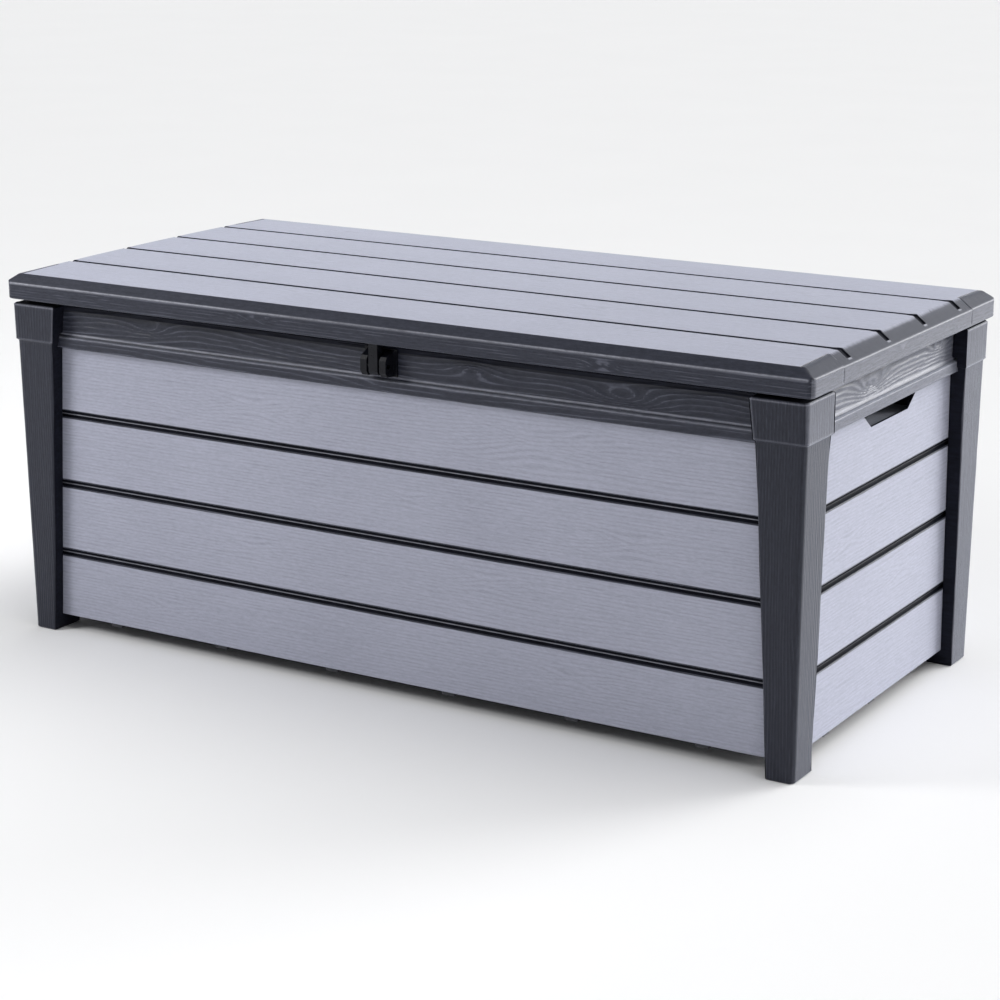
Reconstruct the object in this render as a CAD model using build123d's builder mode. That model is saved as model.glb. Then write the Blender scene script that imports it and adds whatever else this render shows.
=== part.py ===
from build123d import *
import math
import os

os.makedirs("parts", exist_ok=True)

# ------------------------------------------------------------------ overall size
box_length = 1450.0
box_depth = 700.0
box_height = 615.0

# ------------------------------------------------------------------ walls
wall_bottom = 25.0
wall_top = 562.0
groove_count = 3
first_groove = 136.5
groove_pitch = 120.5
groove_half = 5.5
groove_depth = 7.0
groove_draft = 1.2
edge_break = 1.5
plank_top = 490.0
strip_bottom = 493.0
strip_top = 510.0
rail_bottom = 515.0
wall_skin = 3.5
rib_thickness = 3.0

long_inner = 299.0
long_plank = 317.0
long_rail = 321.0
long_strip = 329.0
long_half_length = 688.9
long_solid_end = 660.0
long_rib_pitch = 120.0
long_rib_count = 11

end_inner = 671.0
end_plank = 689.0
end_rail = 693.0
end_strip = 701.0
end_half_length = 298.5
end_rib_offsets = (-180.0, -60.0, 60.0, 180.0)
end_solid_start = 272.0

lip_reach = 10.0
lip_thickness = 4.0
lip_half_long = 656.0

# ------------------------------------------------------------------ hand-holds in the end walls
hold_centre = 16.0
hold_top_width = 214.0
hold_bottom_width = 140.0
hold_bottom = 466.0
hold_corner = 5.0
cup_reach = 25.0
cup_wall = 3.5
cup_half_width = 112.0
cup_bottom = 458.0
cup_top = 524.0
cup_outer_face = 685.0

# ------------------------------------------------------------------ legs
capital_bottom = 502.0
capital_step = 3.0
leg_wall = 4.5
leg_base_thickness = 6.0
leg_corner_radius = 9.0
leg_edge_radius = 3.0
leg_wall_gap = 0.3
capital_chamfer = 2.0
foot_chamfer = 1.5
# each section is: inner x, outer x, inner y, outer y
capital_top_section = (627.5, 716.5, 252.5, 347.3)
capital_low_section = (634.0, 716.8, 252.5, 345.5)
shaft_top_section = (637.0, 713.8, 257.5, 342.5)
foot_section = (664.6, 708.6, 273.9, 336.7)

# ------------------------------------------------------------------ lid
rim_bottom = 569.0
rim_wall = 3.5
rim_corner = 12.0
rim_round = 3.3
front_rim_top = 596.0
front_bevel_inset = 14.0
front_bevel_top = 610.6
end_rim_top = 597.0
end_bevel_inset = 24.0
end_bevel_top = 614.9
deck_skin = 4.0
lid_groove_offsets = (-210.0, -70.0, 70.0, 210.0)
lid_groove_width = 7.0
lid_groove_floor = 611.2
lid_groove_end = 716.0
lid_groove_end_floor = 599.4
lid_notch_width = 11.0
lid_rib_half = 8.5
lid_rib_depth = 3.5
crease_x = 699.5
crease_start = 245.0
crease_width = 2.2
crease_depth = 1.4
seam_width = 1.6
seam_depth = 0.8
seam_rise = 5.0

liner_bottom = 572.0
liner_thickness = 2.5
liner_gap = 0.6
liner_flange_height = 16.0
liner_rib_drop = 10.0
liner_rib_width = 4.0
liner_rib_half_length = 596.0
liner_boss_radius = 5.5
liner_boss_height = 14.0
liner_hole_depth = 13.0
liner_through = 6.0
liner_rib_rows = (-225.0, -75.0, 75.0, 225.0)
liner_rib_columns = (-596.0, -397.0, -199.0, 0.0, 199.0, 397.0, 596.0)

lid_screw_columns = (-620.0, -380.0, -150.0, 150.0, 380.0, 620.0)
lid_screw_row = 328.0
lid_boss_radius = 6.0
lid_screw_hole_depth = 16.0
lid_screw_length = 15.0

# ------------------------------------------------------------------ fixings
pilot_clearance = 0.05
screw_shank = 2.0
screw_head = 4.5
screw_head_height = 2.4
drive_length = 4.6
drive_width = 1.0
drive_depth = 1.2
boss_radius = 7.0
leg_boss_radius = 5.5
leg_screw_depth = 12.0
leg_end_screw_y = 285.0
leg_end_screw_levels = (120.0, 300.0, 450.0)
leg_long_screw_x = 659.0
leg_long_screw_levels = (300.0, 450.0)

# ------------------------------------------------------------------ hinges
hinge_y = 344.0
hinge_z = 565.5
hinge_columns = (-480.0, 0.0, 480.0)
barrel_radius = 6.0
hinge_pin_radius = 2.5
hinge_pin_clearance = 0.05
hinge_half_width = 36.0
hinge_plate_half_width = 52.0
leaf_half_width = 20.0
knuckle_gap = 0.8
hinge_plate_thickness = 4.0
hinge_plate_bottom = 518.0
hinge_plate_top = 561.0
hinge_screw_offset = 44.0
hinge_screw_levels = (526.0, 551.0)
leaf_plate_bottom = 568.5
leaf_front = 297.0
leaf_screw_offset = 12.0
leaf_screw_rows = (305.0, 322.0)
rim_notch_top = 573.2
rim_notch_half = 40.0
pin_head_radius = 4.0
pin_head_length = 1.5
pin_end_gap = 0.3
hinge_arm_rise = 16.0
hinge_arm_upper = (-4.0, 4.4)
hinge_arm_lower = (5.2, -3.0)
base_screw_length = 18.0
leaf_screw_length = 14.0
leaf_hole_depth = 8.0

# ------------------------------------------------------------------ padlock hasp
hasp_y = 338.7
hasp_z = 535.0
hasp_bore = 4.5
ear_inner = 11.5
ear_outer = 23.0
ear_face = 346.5
staple_plate = 3.0
staple_half_width = 29.0
staple_bottom = 517.0
staple_top = 559.0
tongue_half = 8.0
tongue_face = 346.2
tongue_back = 331.2
tongue_bottom = 521.0
tongue_flange_front = 300.0
tongue_flange_half = 14.0
staple_screw_x = 17.25
staple_screw_levels = (524.0, 549.0)
staple_screw_length = 36.0
ear_half_height = 9.0
ear_shoulder = (4.0, 15.0)
ear_foot = (5.0, 2.0)
tongue_tip = (4.0, 5.0)
tongue_screw_rows = (307.0, 322.0)

# ------------------------------------------------------------------ lid bumpers
bumper_radius = 8.0
bumper_stem = 3.0
bumper_rest_gap = 0.3
bumper_chamfer = 1.2
bumper_stem_length = 6.0
bumper_spots = ((-380.0, -309.0), (380.0, -309.0), (-682.0, 160.0), (682.0, 160.0))

# ------------------------------------------------------------------ gas struts, measured from the hinge axis
strut_plane_x = 653.0
body_pivot_forward = 58.0
body_pivot_below = 193.0
lid_pivot_forward = 60.0
lid_pivot_below = 43.0
strut_tube_radius = 7.5
strut_tube_bore = 6.0
strut_tube_start = 12.0
strut_tube_floor = 16.0
strut_tube_end = 128.0
strut_gland_depth = 8.0
strut_gland_flange = 4.0
strut_rod_radius = 4.0
strut_piston_radius = 5.9
strut_piston_start = 18.0
strut_piston_end = 24.0
strut_rod_end = 140.0
strut_socket_start = 134.0
strut_socket_radius = 7.0
strut_eye_radius = 8.0
strut_eye_half = 5.0
strut_pin_radius = 3.0
strut_stem_radius = 4.5
strut_cap_radius = 5.0
strut_cap_length = 1.6
strut_side_gap = 0.4
strut_post_radius = 6.5
strut_end_gap = 0.2
wall_screw_length = 14.0
strut_bracket_face = 668.0
strut_bracket_bottom = 346.0
strut_bracket_top = 399.0
strut_bracket_half = 11.0
strut_bracket_screws = (353.0, 392.0)
lid_bracket_inner = 636.0
lid_bracket_outer = 640.0
lid_stud_end = 645.5
lid_stud_radius = 4.5
lid_bracket_half = 9.0
lid_bracket_flange = 612.0
lid_bracket_screw_x = 622.0
lid_bracket_screw_rows = (264.0, 287.0)
lid_bracket_margins = (8.0, 6.0)

# ------------------------------------------------------------------ floor
floor_edge_gap = 0.4
floor_thickness = 4.0
floor_rib_bottom = 20.0
floor_rib_pitch = 110.0
floor_rib_count = 5
floor_cross_rows = (-230.0, -115.0, 0.0, 115.0, 230.0)
floor_ledge = 18.0
floor_split_gap = 0.3
floor_ledge_bottom = 21.0
floor_screw_rows = (-230.0, -90.0, 90.0, 230.0)
floor_screw_x = 9.0
floor_tab_width = 22.0
floor_tab_bottom = 18.5
floor_tab_top = 24.6
floor_tab_reach = 13.5
floor_tab_root = 288.5
floor_end_tab_root = 660.5
floor_tab_thickness = 6.0
floor_tab_columns = (110.0, 330.0, 550.0)
floor_tab_rows = (-170.0, 0.0, 170.0)

hole_radius = screw_shank + pilot_clearance
sides = (-1, 1)
full_half_length = box_length / 2
full_half_depth = box_depth / 2


# ------------------------------------------------------------------ shared shapes
def closed_face(points):
    """Fills a closed outline on the sketch that is being drawn."""
    with BuildLine() as outline:
        Polyline(*points, close=True)
    make_face(outline.edges())


def wall_outline(plank, rail, strip, inner, side):
    """Section through a wall: planks and grooves outside, flat inside, with a lip for the floor."""
    groove_face = plank - groove_depth
    outline = [(side * plank, wall_bottom)]
    for number in range(groove_count):
        middle = first_groove + number * groove_pitch
        low = middle - groove_half
        high = middle + groove_half
        outline.append((side * plank, low - edge_break))
        outline.append((side * (plank - edge_break), low))
        outline.append((side * groove_face, low + groove_draft))
        outline.append((side * groove_face, high - groove_draft))
        outline.append((side * (plank - edge_break), high))
        outline.append((side * plank, high + edge_break))
    outline.append((side * plank, plank_top))
    outline.append((side * (plank - edge_break), plank_top + edge_break))
    outline.append((side * (plank - edge_break), strip_bottom))
    outline.append((side * (strip - edge_break), strip_bottom))
    outline.append((side * strip, strip_bottom + edge_break))
    outline.append((side * strip, strip_top - edge_break))
    outline.append((side * (strip - edge_break), strip_top))
    outline.append((side * (rail + edge_break), strip_top + edge_break))
    outline.append((side * rail, rail_bottom))
    outline.append((side * rail, wall_top - edge_break))
    outline.append((side * (rail - edge_break), wall_top))
    outline.append((side * inner, wall_top))
    outline.append((side * inner, wall_bottom))
    return outline


def pocket_bands(plank, rail, inner):
    """Heights and depths of the hollows moulded into the inside of a wall."""
    bands = []
    low = wall_bottom + lip_thickness + wall_skin
    for number in range(groove_count):
        middle = first_groove + number * groove_pitch
        bands.append((low, middle - groove_half - wall_skin, plank - wall_skin - inner))
        low = middle + groove_half + wall_skin
    bands.append((low, plank_top - wall_skin, plank - wall_skin - inner))
    bands.append((strip_bottom + wall_skin, wall_top - wall_skin, rail - wall_skin - inner))
    return bands


def section_at(lower, upper, share):
    """A leg section part of the way from a lower section to an upper one."""
    return tuple(a + (b - a) * share for a, b in zip(lower, upper))


def shaft_section(level):
    """Leg section at a height on the tapered shaft."""
    return section_at(foot_section, shaft_top_section, level / (capital_bottom - capital_step))


def shrunk(section, amount):
    """A leg section with every side moved inwards by the same amount."""
    inner_x, outer_x, inner_y, outer_y = section
    return (inner_x + amount, outer_x - amount, inner_y + amount, outer_y - amount)


def leg_rectangle(section, side_x, side_y, level, corner=0.0, edge=0.0):
    """Draws a leg section at a height, with a larger radius on its outer corner."""
    inner_x, outer_x, inner_y, outer_y = section
    with BuildSketch(Plane.XY.offset(level)) as drawn:
        with Locations((side_x * (inner_x + outer_x) / 2, side_y * (inner_y + outer_y) / 2)):
            Rectangle(outer_x - inner_x, outer_y - inner_y)
        if corner > 0:
            ordered = drawn.vertices().sort_by(lambda v: side_x * v.X + side_y * v.Y)
            fillet(ordered[-1], radius=corner)
            fillet(ordered[:-1], radius=edge)
    return drawn.sketch


def add_screws(head_plane, spots, outward, shank_length):
    """Pan-head screws: heads stand on the plane, shanks run the other way."""
    with BuildSketch(head_plane) as heads:
        with Locations(*spots):
            Circle(screw_head)
    extrude(heads.sketch, amount=outward * screw_head_height)
    with BuildSketch(head_plane) as shanks:
        with Locations(*spots):
            Circle(screw_shank)
    extrude(shanks.sketch, amount=-outward * shank_length)
    with BuildSketch(head_plane.offset(outward * screw_head_height)) as slots:
        with Locations(*spots):
            Rectangle(drive_length, drive_width)
            Rectangle(drive_width, drive_length)
    extrude(slots.sketch, amount=-outward * drive_depth, mode=Mode.SUBTRACT)


def add_posts(plane, spots, radius, length):
    """Round posts standing on a plane."""
    with BuildSketch(plane) as rounds:
        with Locations(*spots):
            Circle(radius)
    extrude(rounds.sketch, amount=length)


def drill(plane, spots, radius, length):
    """Round holes sunk from a plane."""
    with BuildSketch(plane) as rounds:
        with Locations(*spots):
            Circle(radius)
    extrude(rounds.sketch, amount=length, mode=Mode.SUBTRACT)


def block(x_range, y_range, z_range, mode=Mode.ADD):
    """A rectangular block between given limits."""
    with BuildSketch(Plane.XY.offset(z_range[0])) as base:
        with Locations(((x_range[0] + x_range[1]) / 2, (y_range[0] + y_range[1]) / 2)):
            Rectangle(abs(x_range[1] - x_range[0]), abs(y_range[1] - y_range[0]))
    extrude(base.sketch, amount=z_range[1] - z_range[0], mode=mode)


def save(part, label):
    """Names a finished piece and writes it out."""
    part.label = label
    export_step(part, "parts/" + label + ".step")


# ------------------------------------------------------------------ long walls
hinge_screw_spots = []
for hinge_x in hinge_columns:
    for level in hinge_screw_levels:
        hinge_screw_spots.append((hinge_x - hinge_screw_offset, level))
        hinge_screw_spots.append((hinge_x + hinge_screw_offset, level))

staple_screw_spots = []
for level in staple_screw_levels:
    staple_screw_spots.append((-staple_screw_x, level))
    staple_screw_spots.append((staple_screw_x, level))

leg_long_spots = []
for level in leg_long_screw_levels:
    leg_long_spots.append((-leg_long_screw_x, level))
    leg_long_spots.append((leg_long_screw_x, level))


def long_wall(side, rail_spots):
    """Front or rear wall, with its moulded planks, inside ribs and screw posts."""
    inside = Plane.XZ.offset(-side * long_inner)
    with BuildPart() as wall:
        with BuildSketch(Plane.YZ):
            closed_face(wall_outline(long_plank, long_rail, long_strip, long_inner, side))
        extrude(amount=long_half_length, both=True)
        column_half = (long_rib_pitch - rib_thickness) / 2
        edge_column = (long_rib_count // 2) * long_rib_pitch
        for low, high, depth in pocket_bands(long_plank, long_rail, long_inner):
            middle = (low + high) / 2
            with BuildSketch(inside):
                with Locations((0, middle)):
                    with GridLocations(long_rib_pitch, 1, long_rib_count - 1, 1):
                        Rectangle(2 * column_half, high - low)
                for end in sides:
                    start = edge_column + rib_thickness / 2
                    with Locations((end * (start + long_solid_end) / 2, middle)):
                        Rectangle(long_solid_end - start, high - low)
            extrude(amount=-side * depth, mode=Mode.SUBTRACT)
        add_posts(inside, leg_long_spots, boss_radius, -side * (long_plank - 1 - long_inner))
        add_posts(inside, rail_spots, boss_radius, -side * (long_rail - 1 - long_inner))
        drill(inside, leg_long_spots, hole_radius, -side * (long_strip - long_inner))
        drill(inside, rail_spots, hole_radius, -side * (long_strip - long_inner))
        lip_edge = long_inner - lip_reach
        block((-lip_half_long, lip_half_long), (side * lip_edge, side * long_inner),
              (wall_bottom, wall_bottom + lip_thickness))
    return wall.part


front_panel = long_wall(-1, staple_screw_spots)
save(front_panel, "front_panel")
rear_panel = long_wall(1, hinge_screw_spots)
save(rear_panel, "rear_panel")

# ------------------------------------------------------------------ end walls
leg_end_spots = []
for level in leg_end_screw_levels:
    leg_end_spots.append((-leg_end_screw_y, level))
    leg_end_spots.append((leg_end_screw_y, level))

body_pivot_y = hinge_y - body_pivot_forward
body_pivot_z = hinge_z - body_pivot_below
strut_wall_spots = [(body_pivot_y, level) for level in strut_bracket_screws]


def end_wall(side):
    """End wall with a hand-hold let in under the trim strip."""
    inside = Plane.YZ.offset(side * end_inner)
    with BuildPart() as wall:
        with BuildSketch(Plane.XZ):
            closed_face(wall_outline(end_plank, end_rail, end_strip, end_inner, side))
        extrude(amount=end_half_length, both=True)
        edges = (-end_solid_start,) + end_rib_offsets + (end_solid_start,)
        for low, high, depth in pocket_bands(end_plank, end_rail, end_inner):
            with BuildSketch(inside):
                for left, right in zip(edges[:-1], edges[1:]):
                    with Locations(((left + right) / 2, (low + high) / 2)):
                        Rectangle(right - left - rib_thickness, high - low)
            extrude(amount=side * depth, mode=Mode.SUBTRACT)
        add_posts(inside, leg_end_spots, boss_radius, side * (end_plank - 1 - end_inner))
        add_posts(inside, strut_wall_spots, boss_radius, side * (end_plank - 1 - end_inner))
        cup_inner = end_inner - cup_reach
        cup_range = (hold_centre - cup_half_width, hold_centre + cup_half_width)
        block((side * cup_inner, side * (cup_outer_face + 1)), cup_range, (cup_bottom, cup_top))
        hollow_range = (cup_range[0] + cup_wall, cup_range[1] - cup_wall)
        block((side * (cup_inner + cup_wall), side * cup_outer_face), hollow_range,
              (cup_bottom + cup_wall, cup_top - cup_wall), mode=Mode.SUBTRACT)
        with BuildSketch(Plane.YZ.offset(side * (cup_outer_face - 1))) as opening:
            closed_face([(hold_centre - hold_bottom_width / 2, hold_bottom),
                         (hold_centre + hold_bottom_width / 2, hold_bottom),
                         (hold_centre + hold_top_width / 2, strip_bottom),
                         (hold_centre - hold_top_width / 2, strip_bottom)])
            lower_corners = opening.vertices().sort_by(Axis.Z)[:2]
            fillet(lower_corners, radius=hold_corner)
        extrude(amount=side * (end_strip - cup_outer_face), mode=Mode.SUBTRACT)
        drill(inside, leg_end_spots, hole_radius, side * (end_strip - end_inner))
        drill(inside, strut_wall_spots, hole_radius, side * leg_screw_depth)
        lip_edge = end_inner - lip_reach
        block((side * lip_edge, side * end_inner), (-end_half_length, end_half_length),
              (wall_bottom, wall_bottom + lip_thickness))
    return wall.part


left_end_panel = end_wall(-1)
save(left_end_panel, "left_end_panel")
right_end_panel = end_wall(1)
save(right_end_panel, "right_end_panel")


# ------------------------------------------------------------------ legs
def corner_leg(side_x, side_y):
    """Hollow corner leg: a capital over a shaft that narrows down to the foot."""
    shaft_top = capital_bottom - capital_step
    with BuildPart() as leg:
        outer_levels = [
            (0.0, shrunk(foot_section, foot_chamfer)),
            (foot_chamfer, shaft_section(foot_chamfer)),
            (shaft_top, shaft_top_section),
            (capital_bottom, capital_low_section),
            (wall_top - capital_chamfer, capital_top_section),
            (wall_top, shrunk(capital_top_section, capital_chamfer)),
        ]
        for lower, upper in zip(outer_levels[:-1], outer_levels[1:]):
            sections = [leg_rectangle(section, side_x, side_y, level, leg_corner_radius, leg_edge_radius)
                        for level, section in (lower, upper)]
            loft(sections)
        # the hollow inside the shaft and the hollow inside the capital
        hollow_levels = [
            (leg_base_thickness, shrunk(shaft_section(leg_base_thickness), leg_wall)),
            (shaft_top, shrunk(shaft_top_section, leg_wall)),
            (wall_top - leg_base_thickness, shrunk(capital_low_section, leg_wall + 1)),
        ]
        for lower, upper in zip(hollow_levels[:-1], hollow_levels[1:]):
            sections = [leg_rectangle(section, side_x, side_y, level)
                        for level, section in (lower, upper)]
            loft(sections, mode=Mode.SUBTRACT)
        # posts that take the screws coming through the walls
        for level in leg_end_screw_levels:
            skin = shaft_section(level)[1] - 2
            start = end_plank + leg_wall_gap
            add_posts(Plane.YZ.offset(side_x * start), [(side_y * leg_end_screw_y, level)],
                      leg_boss_radius, side_x * (skin - start))
        for level in leg_long_screw_levels:
            skin = shaft_section(level)[3] - 2
            start = long_plank + leg_wall_gap
            add_posts(Plane.XZ.offset(-side_y * start), [(side_x * leg_long_screw_x, level)],
                      leg_boss_radius, -side_y * (skin - start))
        # room for the walls, the rail and the trim strip
        wall_x = side_x * (end_plank + leg_wall_gap)
        wall_y = side_y * (long_plank + leg_wall_gap)
        block((0, wall_x), (0, wall_y), (wall_bottom, wall_top + 1), mode=Mode.SUBTRACT)
        rail_x = side_x * (end_rail + leg_wall_gap)
        rail_y = side_y * (long_rail + leg_wall_gap)
        block((0, rail_x), (0, rail_y), (strip_bottom - 1, wall_top + 1), mode=Mode.SUBTRACT)
        strip_x = side_x * (end_strip + leg_wall_gap)
        strip_y = side_y * (long_strip + leg_wall_gap)
        block((0, strip_x), (0, strip_y), (strip_bottom - 1, rail_bottom + 1), mode=Mode.SUBTRACT)
        for level in leg_end_screw_levels:
            drill(Plane.YZ.offset(side_x * (end_plank - 1)), [(side_y * leg_end_screw_y, level)],
                  hole_radius, side_x * (leg_screw_depth + 1))
        for level in leg_long_screw_levels:
            drill(Plane.XZ.offset(-side_y * (long_plank - 1)), [(side_x * leg_long_screw_x, level)],
                  hole_radius, -side_y * (leg_screw_depth + 1))
    return leg.part


leg_front_left = corner_leg(-1, -1)
save(leg_front_left, "leg_front_left")
leg_front_right = corner_leg(1, -1)
save(leg_front_right, "leg_front_right")
leg_rear_left = corner_leg(-1, 1)
save(leg_rear_left, "leg_rear_left")
leg_rear_right = corner_leg(1, 1)
save(leg_rear_right, "leg_rear_right")

with BuildPart() as leg_screws:
    end_reach = end_plank - end_inner + leg_screw_depth - 1
    long_reach = long_plank - long_inner + leg_screw_depth - 1
    for side in sides:
        add_screws(Plane.YZ.offset(side * end_inner), leg_end_spots, -side, end_reach)
        add_screws(Plane.XZ.offset(side * long_inner), leg_long_spots, -side, long_reach)
save(leg_screws.part, "leg_screws")

# ------------------------------------------------------------------ floor in two halves
floor_bottom = wall_bottom + lip_thickness
floor_top = floor_bottom + floor_thickness
floor_outer_x = end_inner - floor_edge_gap
floor_outer_y = end_half_length - floor_edge_gap
floor_rib_x = floor_end_tab_root - 2
floor_rib_y = floor_tab_root - 2
floor_spots = [(floor_screw_x, row) for row in floor_screw_rows]


def floor_half(side):
    """One half of the floor: a flat tray with ribs below and hooks under the walls."""
    with BuildPart() as floor:
        block((side * floor_split_gap, side * floor_outer_x), (-floor_outer_y, floor_outer_y),
              (floor_bottom, floor_top))
        for number in range(floor_rib_count):
            rib_x = side * (floor_rib_pitch * (number + 1))
            block((rib_x - rib_thickness / 2, rib_x + rib_thickness / 2), (-floor_rib_y, floor_rib_y),
                  (floor_rib_bottom, floor_bottom))
        for row in floor_cross_rows:
            block((side * (floor_ledge + 2), side * floor_rib_x),
                  (row - rib_thickness / 2, row + rib_thickness / 2),
                  (floor_rib_bottom, floor_bottom))
        for column in floor_tab_columns:
            low = side * column - floor_tab_width / 2
            high = side * column + floor_tab_width / 2
            for edge in sides:
                root = edge * (floor_tab_root - floor_tab_thickness)
                block((low, high), (root, edge * floor_tab_root), (floor_tab_bottom, floor_bottom))
                tip = edge * (long_inner + floor_tab_reach)
                block((low, high), (root, tip), (floor_tab_bottom, floor_tab_top))
        for row in floor_tab_rows:
            low = row - floor_tab_width / 2
            high = row + floor_tab_width / 2
            root = side * (floor_end_tab_root - floor_tab_thickness)
            block((root, side * floor_end_tab_root), (low, high), (floor_tab_bottom, floor_bottom))
            tip = side * (end_inner + floor_tab_reach)
            block((root, tip), (low, high), (floor_tab_bottom, floor_tab_top))
        if side < 0:
            block((-floor_ledge, floor_ledge), (-floor_rib_y, floor_rib_y),
                  (floor_ledge_bottom, floor_bottom))
            drill(Plane.XY.offset(floor_ledge_bottom), floor_spots, hole_radius,
                  floor_bottom - floor_ledge_bottom)
        else:
            drill(Plane.XY.offset(floor_bottom), floor_spots, hole_radius, floor_thickness)
    return floor.part


floor_left = floor_half(-1)
save(floor_left, "floor_left")
floor_right = floor_half(1)
save(floor_right, "floor_right")

with BuildPart() as floor_screws:
    add_screws(Plane.XY.offset(floor_top), floor_spots, 1, floor_top - floor_ledge_bottom - 1)
save(floor_screws.part, "floor_screws")

# ------------------------------------------------------------------ lid
crown_top = box_height
lid_screw_spots = []
for column in lid_screw_columns:
    lid_screw_spots.append((column, -lid_screw_row))
    lid_screw_spots.append((column, lid_screw_row))


def crowned_section(drop, inset):
    """Section across the lid: upright rims, front and rear bevels and a slightly crowned top."""
    rim_y = full_half_depth - inset
    bevel_y = full_half_depth - front_bevel_inset - inset * 0.4
    rim_z = front_rim_top - drop * 0.4
    with BuildSketch(Plane.YZ) as across:
        with BuildLine():
            Polyline((-bevel_y, front_bevel_top - drop), (-rim_y, rim_z), (-rim_y, rim_bottom - 1),
                     (rim_y, rim_bottom - 1), (rim_y, rim_z), (bevel_y, front_bevel_top - drop))
            ThreePointArc((bevel_y, front_bevel_top - drop), (0, crown_top - drop),
                          (-bevel_y, front_bevel_top - drop))
        make_face()
    return across.sketch


def end_section(drop, inset):
    """Section along the lid: upright ends, then the end bevels."""
    rim_x = full_half_length - inset
    bevel_x = full_half_length - end_bevel_inset - inset * 0.3
    rim_z = end_rim_top - drop * 0.6
    slope = (end_bevel_top - end_rim_top) / end_bevel_inset
    cap = crown_top + 5 - drop
    reach = (cap - (end_bevel_top - drop)) / slope
    with BuildSketch(Plane.XZ) as along:
        closed_face([(-rim_x, rim_bottom - 1), (rim_x, rim_bottom - 1), (rim_x, rim_z),
                     (bevel_x, end_bevel_top - drop), (bevel_x - reach, cap),
                     (-bevel_x + reach, cap), (-bevel_x, end_bevel_top - drop), (-rim_x, rim_z)])
    return along.sketch


def groove_section(offset, end_x, bend_x, floor_level, end_level):
    """Lengthwise outline of a lid groove, from the sky down to the groove floor."""
    sky = crown_top + 10
    with BuildSketch(Plane.XZ.offset(-offset)) as along:
        closed_face([(-end_x, sky), (-end_x, end_level), (-bend_x, floor_level),
                     (bend_x, floor_level), (end_x, end_level), (end_x, sky)])
    return along.sketch


lid_bend_x = full_half_length - end_bevel_inset


def notch_section(offset, side):
    """Outline of the wider notch that a lid groove cuts into the end bevel."""
    sky = crown_top + 10
    with BuildSketch(Plane.XZ.offset(-offset)) as along:
        closed_face([(side * lid_bend_x, sky), (side * lid_bend_x, lid_groove_floor),
                     (side * lid_groove_end, lid_groove_end_floor), (side * lid_groove_end, sky)])
    return along.sketch


with BuildPart() as groove_cutters:
    for offset in lid_groove_offsets:
        section = groove_section(offset, lid_groove_end, lid_bend_x, lid_groove_floor,
                                 lid_groove_end_floor)
        extrude(section, amount=lid_groove_width / 2, both=True)
        # the groove widens into a notch where it runs down the end bevel
        for side in sides:
            section = notch_section(offset, side)
            extrude(section, amount=lid_notch_width / 2, both=True)

with BuildPart() as groove_ribs:
    for offset in lid_groove_offsets:
        section = groove_section(offset, lid_groove_end + lid_rib_depth, lid_bend_x,
                                 lid_groove_floor - lid_rib_depth,
                                 lid_groove_end_floor - lid_rib_depth - 2)
        extrude(section, amount=lid_rib_half, both=True)

with BuildPart() as deck_cavity:
    with BuildSketch(Plane.XY.offset(rim_bottom - 1)):
        RectangleRounded(box_length - 2 * rim_wall, box_depth - 2 * rim_wall, rim_corner - rim_wall)
    extrude(amount=crown_top - rim_bottom)
    extrude(crowned_section(deck_skin, rim_wall), amount=box_length, both=True, mode=Mode.INTERSECT)
    extrude(end_section(deck_skin, rim_wall), amount=box_depth, both=True, mode=Mode.INTERSECT)
    add(groove_ribs.part, mode=Mode.SUBTRACT)

with BuildPart() as lid_deck:
    with BuildSketch(Plane.XY.offset(rim_bottom)):
        RectangleRounded(box_length, box_depth, rim_corner)
    extrude(amount=crown_top + 2 - rim_bottom)
    fillet(lid_deck.faces().sort_by(Axis.Z)[0].edges(), radius=rim_round)
    extrude(crowned_section(0, 0), amount=box_length, both=True, mode=Mode.INTERSECT)
    extrude(end_section(0, 0), amount=box_depth, both=True, mode=Mode.INTERSECT)
    add(deck_cavity.part, mode=Mode.SUBTRACT)
    add_posts(Plane.XY.offset(liner_bottom + liner_thickness), lid_screw_spots, lid_boss_radius,
              front_bevel_top - 2 - liner_bottom - liner_thickness)
    add(groove_cutters.part, mode=Mode.SUBTRACT)
    drill(Plane.XY.offset(liner_bottom + liner_thickness), lid_screw_spots, hole_radius,
          lid_screw_hole_depth)
    # creases and seams that set off the four corner blocks
    for side_x in sides:
        for side_y in sides:
            inner_edge = side_y * crease_start
            outer_edge = side_y * (full_half_depth - front_bevel_inset)
            block((side_x * crease_x - crease_width / 2, side_x * crease_x + crease_width / 2),
                  (inner_edge, outer_edge),
                  (end_bevel_top - crease_depth - 2, crown_top + 1), mode=Mode.SUBTRACT)
            block((side_x * (full_half_length - seam_depth), side_x * (full_half_length + 1)),
                  (inner_edge - seam_width / 2, inner_edge + seam_width / 2),
                  (rim_bottom + seam_rise, end_rim_top), mode=Mode.SUBTRACT)
    # clearance in the rear rim for the hinge barrels
    for hinge_x in hinge_columns:
        block((hinge_x - rim_notch_half, hinge_x + rim_notch_half),
              (full_half_depth - 3 * rim_wall, full_half_depth + 1),
              (rim_bottom - 1, rim_notch_top), mode=Mode.SUBTRACT)
save(lid_deck.part, "lid_deck")

leaf_screw_spots = []
for hinge_x in hinge_columns:
    for row in leaf_screw_rows:
        leaf_screw_spots.append((hinge_x - leaf_screw_offset, row))
        leaf_screw_spots.append((hinge_x + leaf_screw_offset, row))
tongue_screw_spots = [(0, -row) for row in tongue_screw_rows]
lid_bracket_spots = []
for side in sides:
    for row in lid_bracket_screw_rows:
        lid_bracket_spots.append((side * lid_bracket_screw_x, row))
liner_boss_spots = leaf_screw_spots + tongue_screw_spots + lid_bracket_spots

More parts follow.
